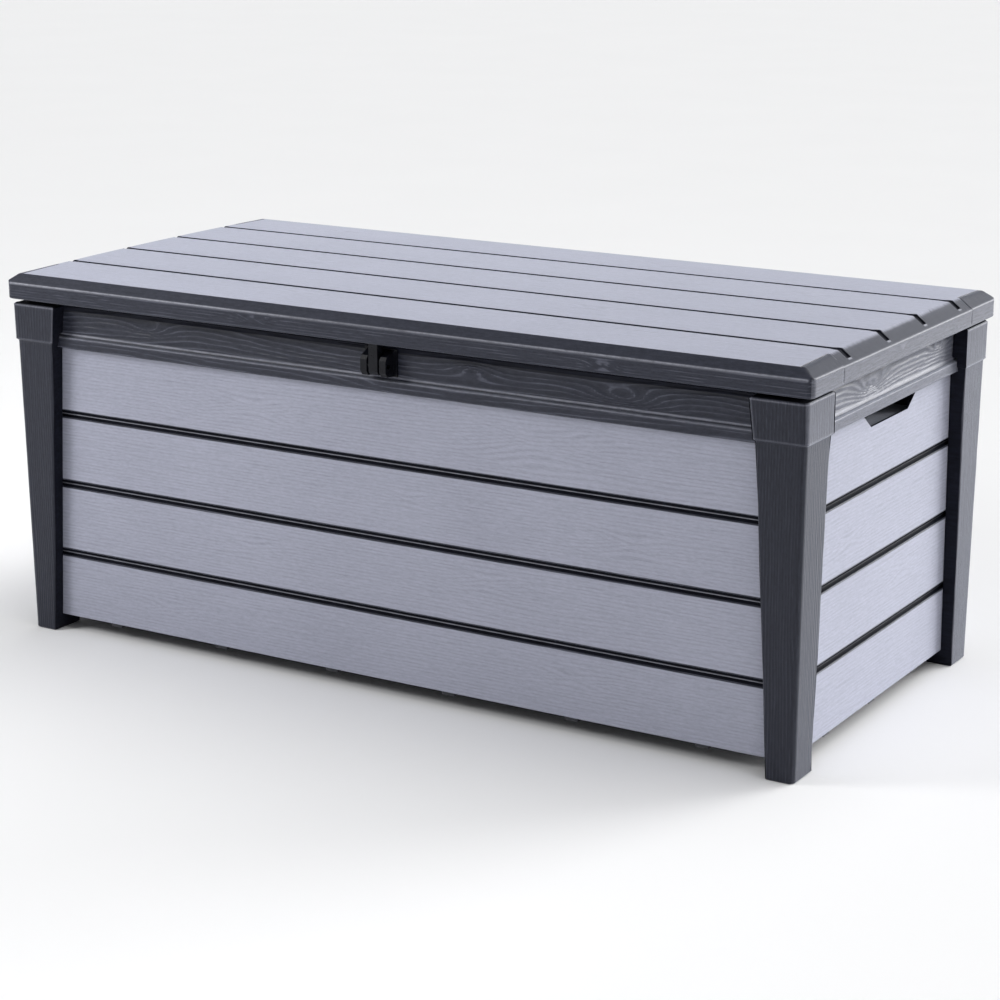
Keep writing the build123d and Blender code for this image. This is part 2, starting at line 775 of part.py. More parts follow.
with BuildPart() as lid_liner:
    liner_length = box_length - 2 * (rim_wall + liner_gap)
    liner_depth = box_depth - 2 * (rim_wall + liner_gap)
    liner_corner = rim_corner - rim_wall - liner_gap
    with BuildSketch(Plane.XY.offset(liner_bottom)):
        RectangleRounded(liner_length, liner_depth, liner_corner)
    extrude(amount=liner_flange_height)
    with BuildSketch(Plane.XY.offset(liner_bottom + liner_thickness)):
        RectangleRounded(liner_length - 2 * rib_thickness, liner_depth - 2 * rib_thickness,
                         liner_corner - rib_thickness)
    extrude(amount=liner_flange_height, mode=Mode.SUBTRACT)
    for row in liner_rib_rows:
        block((-liner_rib_half_length, liner_rib_half_length),
              (row - liner_rib_width / 2, row + liner_rib_width / 2),
              (liner_bottom - liner_rib_drop, liner_bottom))
    for column in liner_rib_columns:
        block((column - liner_rib_width / 2, column + liner_rib_width / 2),
              (liner_rib_rows[0], liner_rib_rows[-1]),
              (liner_bottom - liner_rib_drop, liner_bottom))
    add_posts(Plane.XY.offset(liner_bottom), liner_boss_spots, liner_boss_radius, liner_boss_height)
    drill(Plane.XY.offset(liner_bottom - 1), liner_boss_spots, hole_radius, liner_hole_depth)
    drill(Plane.XY.offset(liner_bottom - 1), lid_screw_spots, hole_radius, liner_through)
    drill(Plane.XY.offset(liner_bottom - 1), bumper_spots, bumper_stem + pilot_clearance,
          liner_through)
save(lid_liner.part, "lid_liner")

with BuildPart() as lid_screws:
    add_screws(Plane.XY.offset(liner_bottom), lid_screw_spots, -1, lid_screw_length)
save(lid_screws.part, "lid_screws")

with BuildPart() as lid_bumpers:
    with BuildSketch(Plane.XY.offset(wall_top + bumper_rest_gap)):
        with Locations(*bumper_spots):
            Circle(bumper_radius)
    extrude(amount=liner_bottom - wall_top - bumper_rest_gap)
    chamfer(lid_bumpers.faces().group_by(Axis.Z)[0].edges(), length=bumper_chamfer)
    add_posts(Plane.XY.offset(liner_bottom), bumper_spots, bumper_stem, bumper_stem_length)
save(lid_bumpers.part, "lid_bumpers")


# ------------------------------------------------------------------ hinges
def hinge_base(hinge_x):
    """Hinge half on the rear wall: a plate with two knuckles reaching back to the pin."""
    back = long_rail + hinge_plate_thickness
    with BuildPart() as base:
        block((hinge_x - hinge_plate_half_width, hinge_x + hinge_plate_half_width), (long_rail, back),
              (hinge_plate_bottom, hinge_plate_top))
        for side in sides:
            inner = hinge_x + side * (leaf_half_width + knuckle_gap)
            outer = hinge_x + side * hinge_half_width
            with BuildSketch(Plane.YZ.offset(min(inner, outer))):
                closed_face([(back - 1, hinge_plate_bottom + hinge_arm_rise), (back - 1, hinge_plate_top),
                             (hinge_y + hinge_arm_upper[0], hinge_z + hinge_arm_upper[1]),
                             (hinge_y + hinge_arm_lower[0], hinge_z + hinge_arm_lower[1])])
                with Locations((hinge_y, hinge_z)):
                    Circle(barrel_radius)
            extrude(amount=abs(outer - inner))
        drill(Plane.YZ.offset(hinge_x - hinge_half_width - 1), [(hinge_y, hinge_z)],
              hinge_pin_radius + hinge_pin_clearance, 2 * hinge_half_width + 2)
        spots = [(hinge_x + side * hinge_screw_offset, hinge_screw_levels[0]) for side in sides]
        spots += [(hinge_x + side * hinge_screw_offset, hinge_screw_levels[1]) for side in sides]
        drill(Plane.XZ.offset(-long_rail), spots, hole_radius, -hinge_plate_thickness)
    return base.part


def hinge_leaf(hinge_x):
    """Hinge half under the lid: a plate with one knuckle around the pin."""
    with BuildPart() as leaf:
        block((hinge_x - leaf_half_width, hinge_x + leaf_half_width), (leaf_front, hinge_y),
              (leaf_plate_bottom, liner_bottom))
        with BuildSketch(Plane.YZ.offset(hinge_x - leaf_half_width)):
            with Locations((hinge_y, hinge_z)):
                Circle(barrel_radius)
        extrude(amount=2 * leaf_half_width)
        drill(Plane.YZ.offset(hinge_x - leaf_half_width - 1), [(hinge_y, hinge_z)],
              hinge_pin_radius + hinge_pin_clearance, 2 * leaf_half_width + 2)
        spots = [(hinge_x - leaf_screw_offset, row) for row in leaf_screw_rows]
        spots += [(hinge_x + leaf_screw_offset, row) for row in leaf_screw_rows]
        drill(Plane.XY.offset(leaf_plate_bottom - 1), spots, hole_radius, leaf_hole_depth)
    return leaf.part


def hinge_pin(hinge_x):
    """Steel pin through the three knuckles, headed at both ends."""
    reach = hinge_half_width + pin_end_gap
    with BuildPart() as pin:
        add_posts(Plane.YZ.offset(hinge_x - reach), [(hinge_y, hinge_z)], hinge_pin_radius, 2 * reach)
        add_posts(Plane.YZ.offset(hinge_x - reach - pin_head_length), [(hinge_y, hinge_z)],
                  pin_head_radius, pin_head_length)
        add_posts(Plane.YZ.offset(hinge_x + reach), [(hinge_y, hinge_z)],
                  pin_head_radius, pin_head_length)
    return pin.part


for hinge_x, place in zip(hinge_columns, ("left", "centre", "right")):
    save(hinge_base(hinge_x), "hinge_base_" + place)
    save(hinge_leaf(hinge_x), "hinge_leaf_" + place)
    save(hinge_pin(hinge_x), "hinge_pin_" + place)

with BuildPart() as hinge_base_screws:
    plate_face = long_rail + hinge_plate_thickness
    add_screws(Plane.XZ.offset(-plate_face), hinge_screw_spots, -1,
               hinge_plate_thickness + base_screw_length)
save(hinge_base_screws.part, "hinge_base_screws")

with BuildPart() as hinge_leaf_screws:
    add_screws(Plane.XY.offset(leaf_plate_bottom), leaf_screw_spots, -1, leaf_screw_length)
save(hinge_leaf_screws.part, "hinge_leaf_screws")

# ------------------------------------------------------------------ padlock hasp
with BuildPart() as padlock_staple:
    block((-staple_half_width, staple_half_width), (-long_rail - staple_plate, -long_rail),
          (staple_bottom, staple_top))
    for side in sides:
        with BuildSketch(Plane.YZ.offset(side * ear_inner)):
            closed_face([(-long_rail - 1, staple_bottom), (-long_rail - 1, staple_top),
                         (-ear_face + ear_shoulder[0], hasp_z + ear_shoulder[1]),
                         (-ear_face, hasp_z + ear_half_height),
                         (-ear_face, hasp_z - ear_half_height),
                         (-ear_face + ear_foot[0], staple_bottom + ear_foot[1])])
        extrude(amount=side * (ear_outer - ear_inner))
    drill(Plane.YZ.offset(-ear_outer - 1), [(-hasp_y, hasp_z)], hasp_bore, 2 * ear_outer + 2)
    drill(Plane.XZ.offset(long_rail), staple_screw_spots, hole_radius,
          staple_screw_length - (long_rail - long_inner) + 1)
save(padlock_staple.part, "padlock_staple")

with BuildPart() as staple_screws:
    add_screws(Plane.XZ.offset(long_inner), staple_screw_spots, -1, staple_screw_length)
save(staple_screws.part, "staple_screws")

with BuildPart() as hasp_tongue:
    with BuildSketch(Plane.YZ.offset(-tongue_half)):
        closed_face([(-tongue_face, tongue_bottom + tongue_tip[1]), (-tongue_face, liner_bottom),
                     (-tongue_back, liner_bottom), (-tongue_back, tongue_bottom + tongue_tip[1]),
                     (-tongue_back - tongue_tip[0], tongue_bottom),
                     (-tongue_face + tongue_tip[0], tongue_bottom)])
    extrude(amount=2 * tongue_half)
    block((-tongue_flange_half, tongue_flange_half), (-tongue_back - 1, -tongue_flange_front),
          (leaf_plate_bottom, liner_bottom))
    drill(Plane.YZ.offset(-tongue_half - 1), [(-hasp_y, hasp_z)], hasp_bore, 2 * tongue_half + 2)
    drill(Plane.XY.offset(leaf_plate_bottom - 1), tongue_screw_spots, hole_radius, leaf_hole_depth)
save(hasp_tongue.part, "hasp_tongue")

with BuildPart() as tongue_screws:
    add_screws(Plane.XY.offset(leaf_plate_bottom), tongue_screw_spots, -1, leaf_screw_length)
save(tongue_screws.part, "tongue_screws")

# ------------------------------------------------------------------ gas struts
lid_pivot_y = hinge_y - lid_pivot_forward
lid_pivot_z = hinge_z - lid_pivot_below
strut_length = math.hypot(lid_pivot_y - body_pivot_y, lid_pivot_z - body_pivot_z)
strut_direction = (0, (lid_pivot_y - body_pivot_y) / strut_length,
                   (lid_pivot_z - body_pivot_z) / strut_length)


def strut_frame(side, along):
    """Plane square to a strut, a given distance up from its lower pivot."""
    foot = Plane(origin=(side * strut_plane_x, body_pivot_y, body_pivot_z),
                 x_dir=(1, 0, 0), z_dir=strut_direction)
    return foot.offset(along)


def strut_post(side, start, end, radius, mode=Mode.ADD):
    """Round length of a strut between two distances from its lower pivot."""
    with BuildSketch(strut_frame(side, start)) as ring:
        Circle(radius)
    extrude(ring.sketch, amount=end - start, mode=mode)


def cross_disc(side, centre, half_width, radius, mode=Mode.ADD):
    """Disc with its axis along the box, centred on a strut."""
    with BuildSketch(Plane.YZ.offset(side * strut_plane_x - half_width)) as ring:
        with Locations(centre):
            Circle(radius)
    extrude(ring.sketch, amount=2 * half_width, mode=mode)


body_pivot = (body_pivot_y, body_pivot_z)
lid_pivot = (lid_pivot_y, lid_pivot_z)

for side, place in zip(sides, ("left", "right")):
    with BuildPart() as strut_cylinder:
        strut_post(side, strut_tube_start, strut_tube_end, strut_tube_radius)
        strut_post(side, strut_tube_floor, strut_tube_end, strut_tube_bore, Mode.SUBTRACT)
    save(strut_cylinder.part, "strut_cylinder_" + place)

    with BuildPart() as strut_gland:
        strut_post(side, strut_tube_end - strut_gland_depth, strut_tube_end,
                   strut_tube_bore - pilot_clearance)
        strut_post(side, strut_tube_end, strut_tube_end + strut_gland_flange, strut_tube_radius)
        strut_post(side, strut_tube_end - strut_gland_depth, strut_tube_end + strut_gland_flange,
                   strut_rod_radius + pilot_clearance, Mode.SUBTRACT)
    save(strut_gland.part, "strut_gland_" + place)

    with BuildPart() as strut_eye:
        strut_post(side, strut_eye_radius / 2, strut_tube_start, strut_stem_radius)
        cross_disc(side, body_pivot, strut_eye_half, strut_eye_radius)
        cross_disc(side, body_pivot, strut_eye_half + 1, strut_pin_radius + pilot_clearance,
                   Mode.SUBTRACT)
    save(strut_eye.part, "strut_eye_" + place)

    with BuildPart() as strut_rod:
        strut_post(side, strut_piston_start, strut_piston_end, strut_piston_radius)
        strut_post(side, strut_piston_end, strut_rod_end, strut_rod_radius)
    save(strut_rod.part, "strut_rod_" + place)

    with BuildPart() as strut_socket:
        strut_post(side, strut_socket_start, strut_length, strut_stem_radius + 1)
        cross_disc(side, lid_pivot, strut_eye_half + 1, strut_socket_radius)
        strut_post(side, strut_socket_start, strut_rod_end + strut_end_gap,
                   strut_rod_radius + pilot_clearance, Mode.SUBTRACT)
    save(strut_socket.part, "strut_socket_" + place)

    with BuildPart() as strut_bracket:
        block((side * strut_bracket_face, side * end_inner),
              (body_pivot_y - strut_bracket_half, body_pivot_y + strut_bracket_half),
              (strut_bracket_bottom, strut_bracket_top))
        shoulder = strut_plane_x + strut_eye_half + strut_side_gap
        add_posts(Plane.YZ.offset(side * strut_bracket_face), [body_pivot], strut_post_radius,
                  -side * (strut_bracket_face - shoulder))
        tip = strut_plane_x - strut_eye_half - strut_side_gap
        add_posts(Plane.YZ.offset(side * shoulder), [body_pivot], strut_pin_radius,
                  -side * (shoulder - tip))
        add_posts(Plane.YZ.offset(side * tip), [body_pivot], strut_cap_radius,
                  -side * strut_cap_length)
        drill(Plane.YZ.offset(side * strut_bracket_face), strut_wall_spots, hole_radius,
              side * (end_inner - strut_bracket_face))
    save(strut_bracket.part, "strut_bracket_" + place)

    with BuildPart() as strut_lid_bracket:
        plate_y = (lid_pivot_y - lid_bracket_half, lid_pivot_y + lid_bracket_half)
        block((side * lid_bracket_inner, side * lid_bracket_outer), plate_y,
              (lid_pivot_z - lid_bracket_half, liner_bottom))
        block((side * lid_bracket_flange, side * lid_bracket_inner),
              (lid_bracket_screw_rows[0] - lid_bracket_margins[0],
               lid_bracket_screw_rows[1] + lid_bracket_margins[1]),
              (leaf_plate_bottom, liner_bottom))
        add_posts(Plane.YZ.offset(side * lid_bracket_outer), [lid_pivot], lid_stud_radius,
                  side * (lid_stud_end - lid_bracket_outer))
        spots = [(side * lid_bracket_screw_x, row) for row in lid_bracket_screw_rows]
        drill(Plane.XY.offset(leaf_plate_bottom - 1), spots, hole_radius, leaf_hole_depth)
    save(strut_lid_bracket.part, "strut_lid_bracket_" + place)

with BuildPart() as strut_bracket_screws_body:
    for side in sides:
        add_screws(Plane.YZ.offset(side * strut_bracket_face), strut_wall_spots, -side,
                   wall_screw_length)
save(strut_bracket_screws_body.part, "strut_bracket_screws")

with BuildPart() as lid_bracket_screws:
    add_screws(Plane.XY.offset(leaf_plate_bottom), lid_bracket_spots, -1, leaf_screw_length)
save(lid_bracket_screws.part, "lid_bracket_screws")
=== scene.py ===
import math

import bmesh
import bpy
import numpy as np
from mathutils import Euler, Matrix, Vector


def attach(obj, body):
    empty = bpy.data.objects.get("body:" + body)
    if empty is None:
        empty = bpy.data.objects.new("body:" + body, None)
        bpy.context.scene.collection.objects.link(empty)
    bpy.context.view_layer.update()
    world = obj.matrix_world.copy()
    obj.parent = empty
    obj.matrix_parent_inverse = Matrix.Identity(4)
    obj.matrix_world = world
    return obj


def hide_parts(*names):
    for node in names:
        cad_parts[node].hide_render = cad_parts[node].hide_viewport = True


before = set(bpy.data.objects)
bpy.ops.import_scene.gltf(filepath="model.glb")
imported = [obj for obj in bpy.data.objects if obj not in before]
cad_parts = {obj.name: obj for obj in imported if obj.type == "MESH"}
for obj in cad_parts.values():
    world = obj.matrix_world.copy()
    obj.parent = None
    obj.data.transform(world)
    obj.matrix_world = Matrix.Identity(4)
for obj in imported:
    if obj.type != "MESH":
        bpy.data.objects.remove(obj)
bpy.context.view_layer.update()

MM = 0.001

# ------------------------------------------------------------------ sizes, in millimetres
WALL_BOTTOM, WALL_TOP = 25.0, 562.0
GROOVES = (136.5, 257.0, 377.5)
GROOVE_HALF, GROOVE_DEPTH, GROOVE_DRAFT, EDGE = 5.5, 7.0, 1.2, 1.5
PLANK_TOP, STRIP_LOW, STRIP_HIGH, RAIL_LOW = 490.0, 493.0, 510.0, 515.0
LONG_WALL = (317.0, 321.0, 329.0, 688.9)   # plank face, rail face, strip face, half length
END_WALL = (689.0, 693.0, 701.0, 298.5)
HOLD_CENTRE, HOLD_LOW, HOLD_LOW_HALF, HOLD_HIGH_HALF = 16.0, 466.0, 70.0, 107.0
HOLD_START, HOLD_END = HOLD_CENTRE - HOLD_LOW_HALF, HOLD_CENTRE + HOLD_LOW_HALF
CUP_FACE = 685.0

# boards of a wall, from the bottom: four planks, the strip and the rail
PLANKS, STRIP, RAIL, GROOVE = 4, 4, 5, -1
BOARD_MIDDLES = (77.0, 196.7, 317.2, 437.0, 501.5, 538.0)
BOARD_HALVES = (52.5, 53.2, 53.2, 53.0, 8.5, 23.5)
# a groove's floor and raised bead: distance out from its floor, distance up from its middle
GROOVE_PROFILE = ((GROOVE_DEPTH - EDGE, -GROOVE_HALF), (0.9, -4.7), (0.1, -3.9), (0, -3.0), (0.2, -1.9),
                  (2.2, -1.5), (2.6, -0.9), (2.2, -0.3), (0.2, 0.1), (0, 1.2), (0, 2.6), (0.1, 3.9),
                  (0.9, 4.7))

LID_X, LID_Y, LID_TOP, RIM_LOW = 725.0, 350.0, 615.0, 569.0
LID_CORNER, RIM_FILLET = 12.0, 3.3
FRONT_INSET, FRONT_RIM, FRONT_TOP = 14.0, 596.0, 610.6
END_INSET, END_RIM, END_TOP = 24.0, 597.0, 614.9
LID_GROOVES = (-210.0, -70.0, 70.0, 210.0)
LID_GROOVE_HALF, LID_GROOVE_FLOOR, LID_GROOVE_END, LID_GROOVE_END_FLOOR = 3.5, 611.2, 716.0, 599.4
# the notches in the end bevels: half width, where the grooves start to widen and over what length
CUT_HALF, CUT_START, CUT_RUN = 6.5, 688.0, 9.0
CREASE_X, CREASE_Y = 699.5, 245.0
HINGES = (-480.0, 0.0, 480.0)
NOTCH_HALF, NOTCH_TOP = 40.0, 573.2
LID_ROUND, RIM_MIDDLE, RIM_ROWS = 1.5, 584.0, 10
BEVEL_X, BEVEL_Y = LID_X - END_INSET, LID_Y - FRONT_INSET
STRAIGHT_X, STRAIGHT_Y = LID_X - LID_CORNER, LID_Y - LID_CORNER
# lines that the lid's grid follows: each side of a groove, towards the ends, and towards front and back
BESIDE_GROOVE = (3, 3.5, 4, 5, 6, 6.5, 7, 7.6, 9)
END_LINES = [520, 686, 688, 690, 692, 693.5, 695, 696.4, 697.6, 698.3, 698.9, 699.5, 700.1, 700.6, 701.1,
             702.4, 704, 706, 709, 713, 715.4, 716, 716.5, 718, 720, 722, 723.4, 724.3, 724.8, LID_X]
SIDE_LINES = [244.2, 245, 245.8, 325, 331, 333.5, 334.8, 335.7, 336.5, 337.3, 338, 340, 342, 344, 346,
              347.5, 348.6, 349.4, 349.85, LID_Y]

# leg sections: inner x, outer x, inner y, outer y
CAPITAL_TOP = (627.5, 716.5, 252.5, 347.3)
CAPITAL_LOW = (634.0, 716.8, 252.5, 345.5)
SHAFT_TOP = (637.0, 713.8, 257.5, 342.5)
FOOT = (664.6, 708.6, 273.9, 336.7)
CAPITAL_LEVEL, SHAFT_LEVEL = 502.0, 499.0
LEG_CORNER, LEG_EDGE, FOOT_CHAMFER, CAPITAL_CHAMFER = 9.0, 3.0, 1.5, 2.0
LEG_LINES = [0, 0.5, 1.5, 3, 480, 495.5, 497.5, 498.5, 499, 500.4, 501.4, 502, 502.6, 503.6, 505, 512,
             550, 557.5, 559, 559.6, 560, 560.8, 562]

BARE, PAINT_MOST = -10.0, 30.0   # the paint field where there is none, and its greatest value
END_PAINTED_SHEEN = 0.4   # painted sheen: how far the dark resin that faces the ends is painted lighter
NEAR = 0.1   # slack when CAD faces are told apart by where they lie


# ------------------------------------------------------------------ noise and wood grain
def smooth(t):
    return t * t * (3 - 2 * t)


def noise(x, y, seed):
    """Smooth value noise between -1 and 1."""
    table = np.random.RandomState(seed).rand(64, 64)
    xi, yi = np.floor(x).astype(int), np.floor(y).astype(int)
    fx, fy = smooth(x - xi), smooth(y - yi)
    a, b = table[xi % 64, yi % 64], table[(xi + 1) % 64, yi % 64]
    c, d = table[xi % 64, (yi + 1) % 64], table[(xi + 1) % 64, (yi + 1) % 64]
    return 2 * ((a + (b - a) * fx) * (1 - fy) + (c + (d - c) * fx) * fy) - 1


def layered(x, y, seed, octaves=3):
    total, size = 0, 1.0
    for k in range(octaves):
        total = total + size * noise(x * 2 ** k, y * 2 ** k, seed + k)
        size *= 0.5
    return total


def band(away, width):
    """A soft line: 1 at its middle, falling off over its width."""
    return np.exp(-(away / width) ** 2)


def growth(u, v, seed, pitch, sway, knots=()):
    """Growth rings on the face of a board: u runs along it and v across it, in millimetres."""
    ring = v / pitch + sway * layered(u / 460 + 0.3 * seed, v / 70, seed, 2)
    ring = ring + 0.30 * layered(u / 150, v / 22, seed + 21) + 0.12 * noise(u / 45, v / 6, seed + 31)
    for ku, kv, size, turns in knots:
        away = ((u - ku) / (size * 3.4)) ** 2 + ((v - kv) / size) ** 2
        ring = ring + turns * np.exp(-away ** 0.8)
    return ring


def ridges(ring, u, v, seed, sharp=1.4):
    """Raised grain between 0 and 1 from growth rings."""
    wave = 0.5 + 0.5 * np.cos(2 * math.pi * ring)
    fine = 0.5 + 0.5 * noise(u / 40, v / 2.2, seed + 41)
    return np.clip(0.78 * wave ** sharp + 0.22 * fine, 0, 1)


def grain_place(along, ring, across):
    """Where the grain textures are read: slowly along the board, and from ring to ring across it."""
    return np.stack((along * 0.01, ring, across * 0.1), -1).reshape(-1, 3)


# ------------------------------------------------------------------ meshes
def packed(stops, step):
    """Positions that include every stop and are no more than a step apart."""
    out = []
    for a, b in zip(stops[:-1], stops[1:]):
        out.extend(np.linspace(a, b, max(1, math.ceil((b - a) / step)) + 1)[:-1])
    return np.array(out + [stops[-1]])


def grid_faces(rows, columns, flip, keep=None):
    """Four-sided faces over a grid of vertices that is stored row by row."""
    index = np.arange(rows * columns).reshape(rows, columns)
    a, b = index[:-1, :-1], index[:-1, 1:]
    c, d = index[1:, 1:], index[1:, :-1]
    faces = np.stack((a, b, c, d) if not flip else (d, c, b, a), -1)
    if keep is not None:
        faces = faces[keep]
    return faces.reshape(-1, 4)


def cad_rest(node, is_outside):
    """Vertices and faces of a CAD node without its outer skin, which a finer skin takes over."""
    bm = bmesh.new()
    bm.from_mesh(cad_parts[node].data)
    bmesh.ops.remove_doubles(bm, verts=bm.verts, dist=2e-6)
    bm.verts.ensure_lookup_table()
    points = np.array([v.co for v in bm.verts]) / MM
    gone = [f for f in bm.faces if is_outside(points[[v.index for v in f.verts]], np.array(f.normal))]
    bmesh.ops.delete(bm, geom=gone, context="FACES")
    loose = [v for v in bm.verts if not v.link_faces]
    bmesh.ops.delete(bm, geom=loose, context="VERTS")
    bm.verts.index_update()
    points = np.array([v.co for v in bm.verts]) / MM
    faces = [[v.index for v in f.verts] for f in bm.faces]
    bm.free()
    return points, faces


def plain_fields(points):
    """What the materials read on faces that keep their CAD shape: bare resin with no raised grain."""
    count = len(points)
    return {"paint": np.full(count, BARE), "relief": np.full(count, 0.5), "painted_light": np.zeros(count),
            "grain": points * (0.01, 0.15, 0.1)}


def make_piece(name, parts, materials, body, nodes, sharp=38):
    """One mesh from parts of (points, faces, fields, material numbers). The fields feed the materials."""
    points, faces, kinds, start = [], [], [], 0
    fields = {"paint": [], "relief": [], "painted_light": [], "grain": []}
    for part_points, part_faces, values, kind in parts:
        points.append(part_points)
        kinds.extend(np.broadcast_to(kind, len(part_faces)).tolist())
        faces.extend([[int(i) + start for i in f] for f in part_faces])
        start += len(part_points)
        for key, numbers in (values or plain_fields(part_points)).items():
            fields[key].append(numbers)
    mesh = bpy.data.meshes.new(name)
    mesh.from_pydata((np.concatenate(points) * MM).tolist(), [], faces)
    for key, numbers in fields.items():
        data_type, member = ("FLOAT_VECTOR", "vector") if key == "grain" else ("FLOAT", "value")
        layer = mesh.attributes.new(key, data_type, "POINT")
        layer.data.foreach_set(member, np.concatenate(numbers).astype(np.float32).ravel())
    mesh.polygons.foreach_set("use_smooth", [True] * len(mesh.polygons))
    mesh.set_sharp_from_angle(angle=math.radians(sharp))
    for material in materials:
        mesh.materials.append(material)
    mesh.polygons.foreach_set("material_index", kinds)
    piece = bpy.data.objects.new(name, mesh)
    bpy.context.scene.collection.objects.link(piece)
    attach(piece, body)
    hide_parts(*nodes)
    return piece


# ------------------------------------------------------------------ materials
MIX_A, MIX_B, MIX_RESULT = 6, 7, 2   # the colour sockets of a Mix node


class Shader:
    """A node material that is put together by short calls."""

    def __init__(self, name):
        self.material = bpy.data.materials.new(name)
        self.material.use_nodes = True
        self.tree = self.material.node_tree
        self.tree.nodes.clear()
        self.output = self.node("ShaderNodeOutputMaterial")
        self.surface = self.node("ShaderNodeBsdfPrincipled")
        self.link(self.surface.outputs[0], self.output.inputs[0])

    def node(self, kind, **settings):
        made = self.tree.nodes.new(kind)
        for key, value in settings.items():
            setattr(made, key, value)
        return made

    def link(self, source, target):
        self.tree.links.new(source, target)

    def put(self, target, value):
        if hasattr(value, "is_output"):
            self.link(value, target)
        else:
            target.default_value = value

    def attribute(self, name, output="Fac"):
        return self.node("ShaderNodeAttribute", attribute_name=name).outputs[output]

    def place(self):
        return self.node("ShaderNodeTexCoord").outputs["Object"]

    def scaled(self, vector, scale):
        mapping = self.node("ShaderNodeMapping")
        self.link(vector, mapping.inputs["Vector"])
        mapping.inputs["Scale"].default_value = scale
        return mapping.outputs[0]

    def noise(self, vector, scale, detail=3.0, rough=0.55, distortion=0.0):
        made = self.node("ShaderNodeTexNoise")
        self.link(vector, made.inputs["Vector"])
        for key, value in (("Scale", scale), ("Detail", detail), ("Roughness", rough),
                           ("Distortion", distortion)):
            made.inputs[key].default_value = value
        return made.outputs["Fac"]

    def ramp(self, value, low, high, out_low=0.0, out_high=1.0, soft=False):
        made = self.node("ShaderNodeMapRange", interpolation_type="SMOOTHSTEP" if soft else "LINEAR")
        self.link(value, made.inputs["Value"])
        for number, amount in enumerate((low, high, out_low, out_high)):
            made.inputs[number + 1].default_value = amount
        return made.outputs["Result"]

    def math(self, operation, a, b=0.0):
        made = self.node("ShaderNodeMath", operation=operation)
        self.put(made.inputs[0], a)
        self.put(made.inputs[1], b)
        return made.outputs[0]

    def total(self, *pairs):
        """The sum of values, each times its own weight."""
        whole = None
        for value, weight in pairs:
            part = self.math("MULTIPLY", value, weight)
            whole = part if whole is None else self.math("ADD", whole, part)
        return whole

    def mix(self, factor, a, b):
        made = self.node("ShaderNodeMix", data_type="RGBA")
        self.put(made.inputs[0], factor)
        self.put(made.inputs[MIX_A], a if hasattr(a, "is_output") else (*a, 1))
        self.put(made.inputs[MIX_B], b if hasattr(b, "is_output") else (*b, 1))
        return made.outputs[MIX_RESULT]

    def bump(self, height, distance, strength, before=None):
        made = self.node("ShaderNodeBump")
        made.inputs["Distance"].default_value = distance
        made.inputs["Strength"].default_value = strength
        self.link(height, made.inputs["Height"])
        if before is not None:
            self.link(before, made.inputs["Normal"])
        return made.outputs[0]

    def finish(self, **sockets):
        for key, value in sockets.items():
            target = self.surface.inputs[key.replace("_", " ").title().replace("Ior", "IOR")]
            if isinstance(value, tuple) and len(value) == 3:
                value = (*value, 1)
            self.put(target, value)
        return self.material


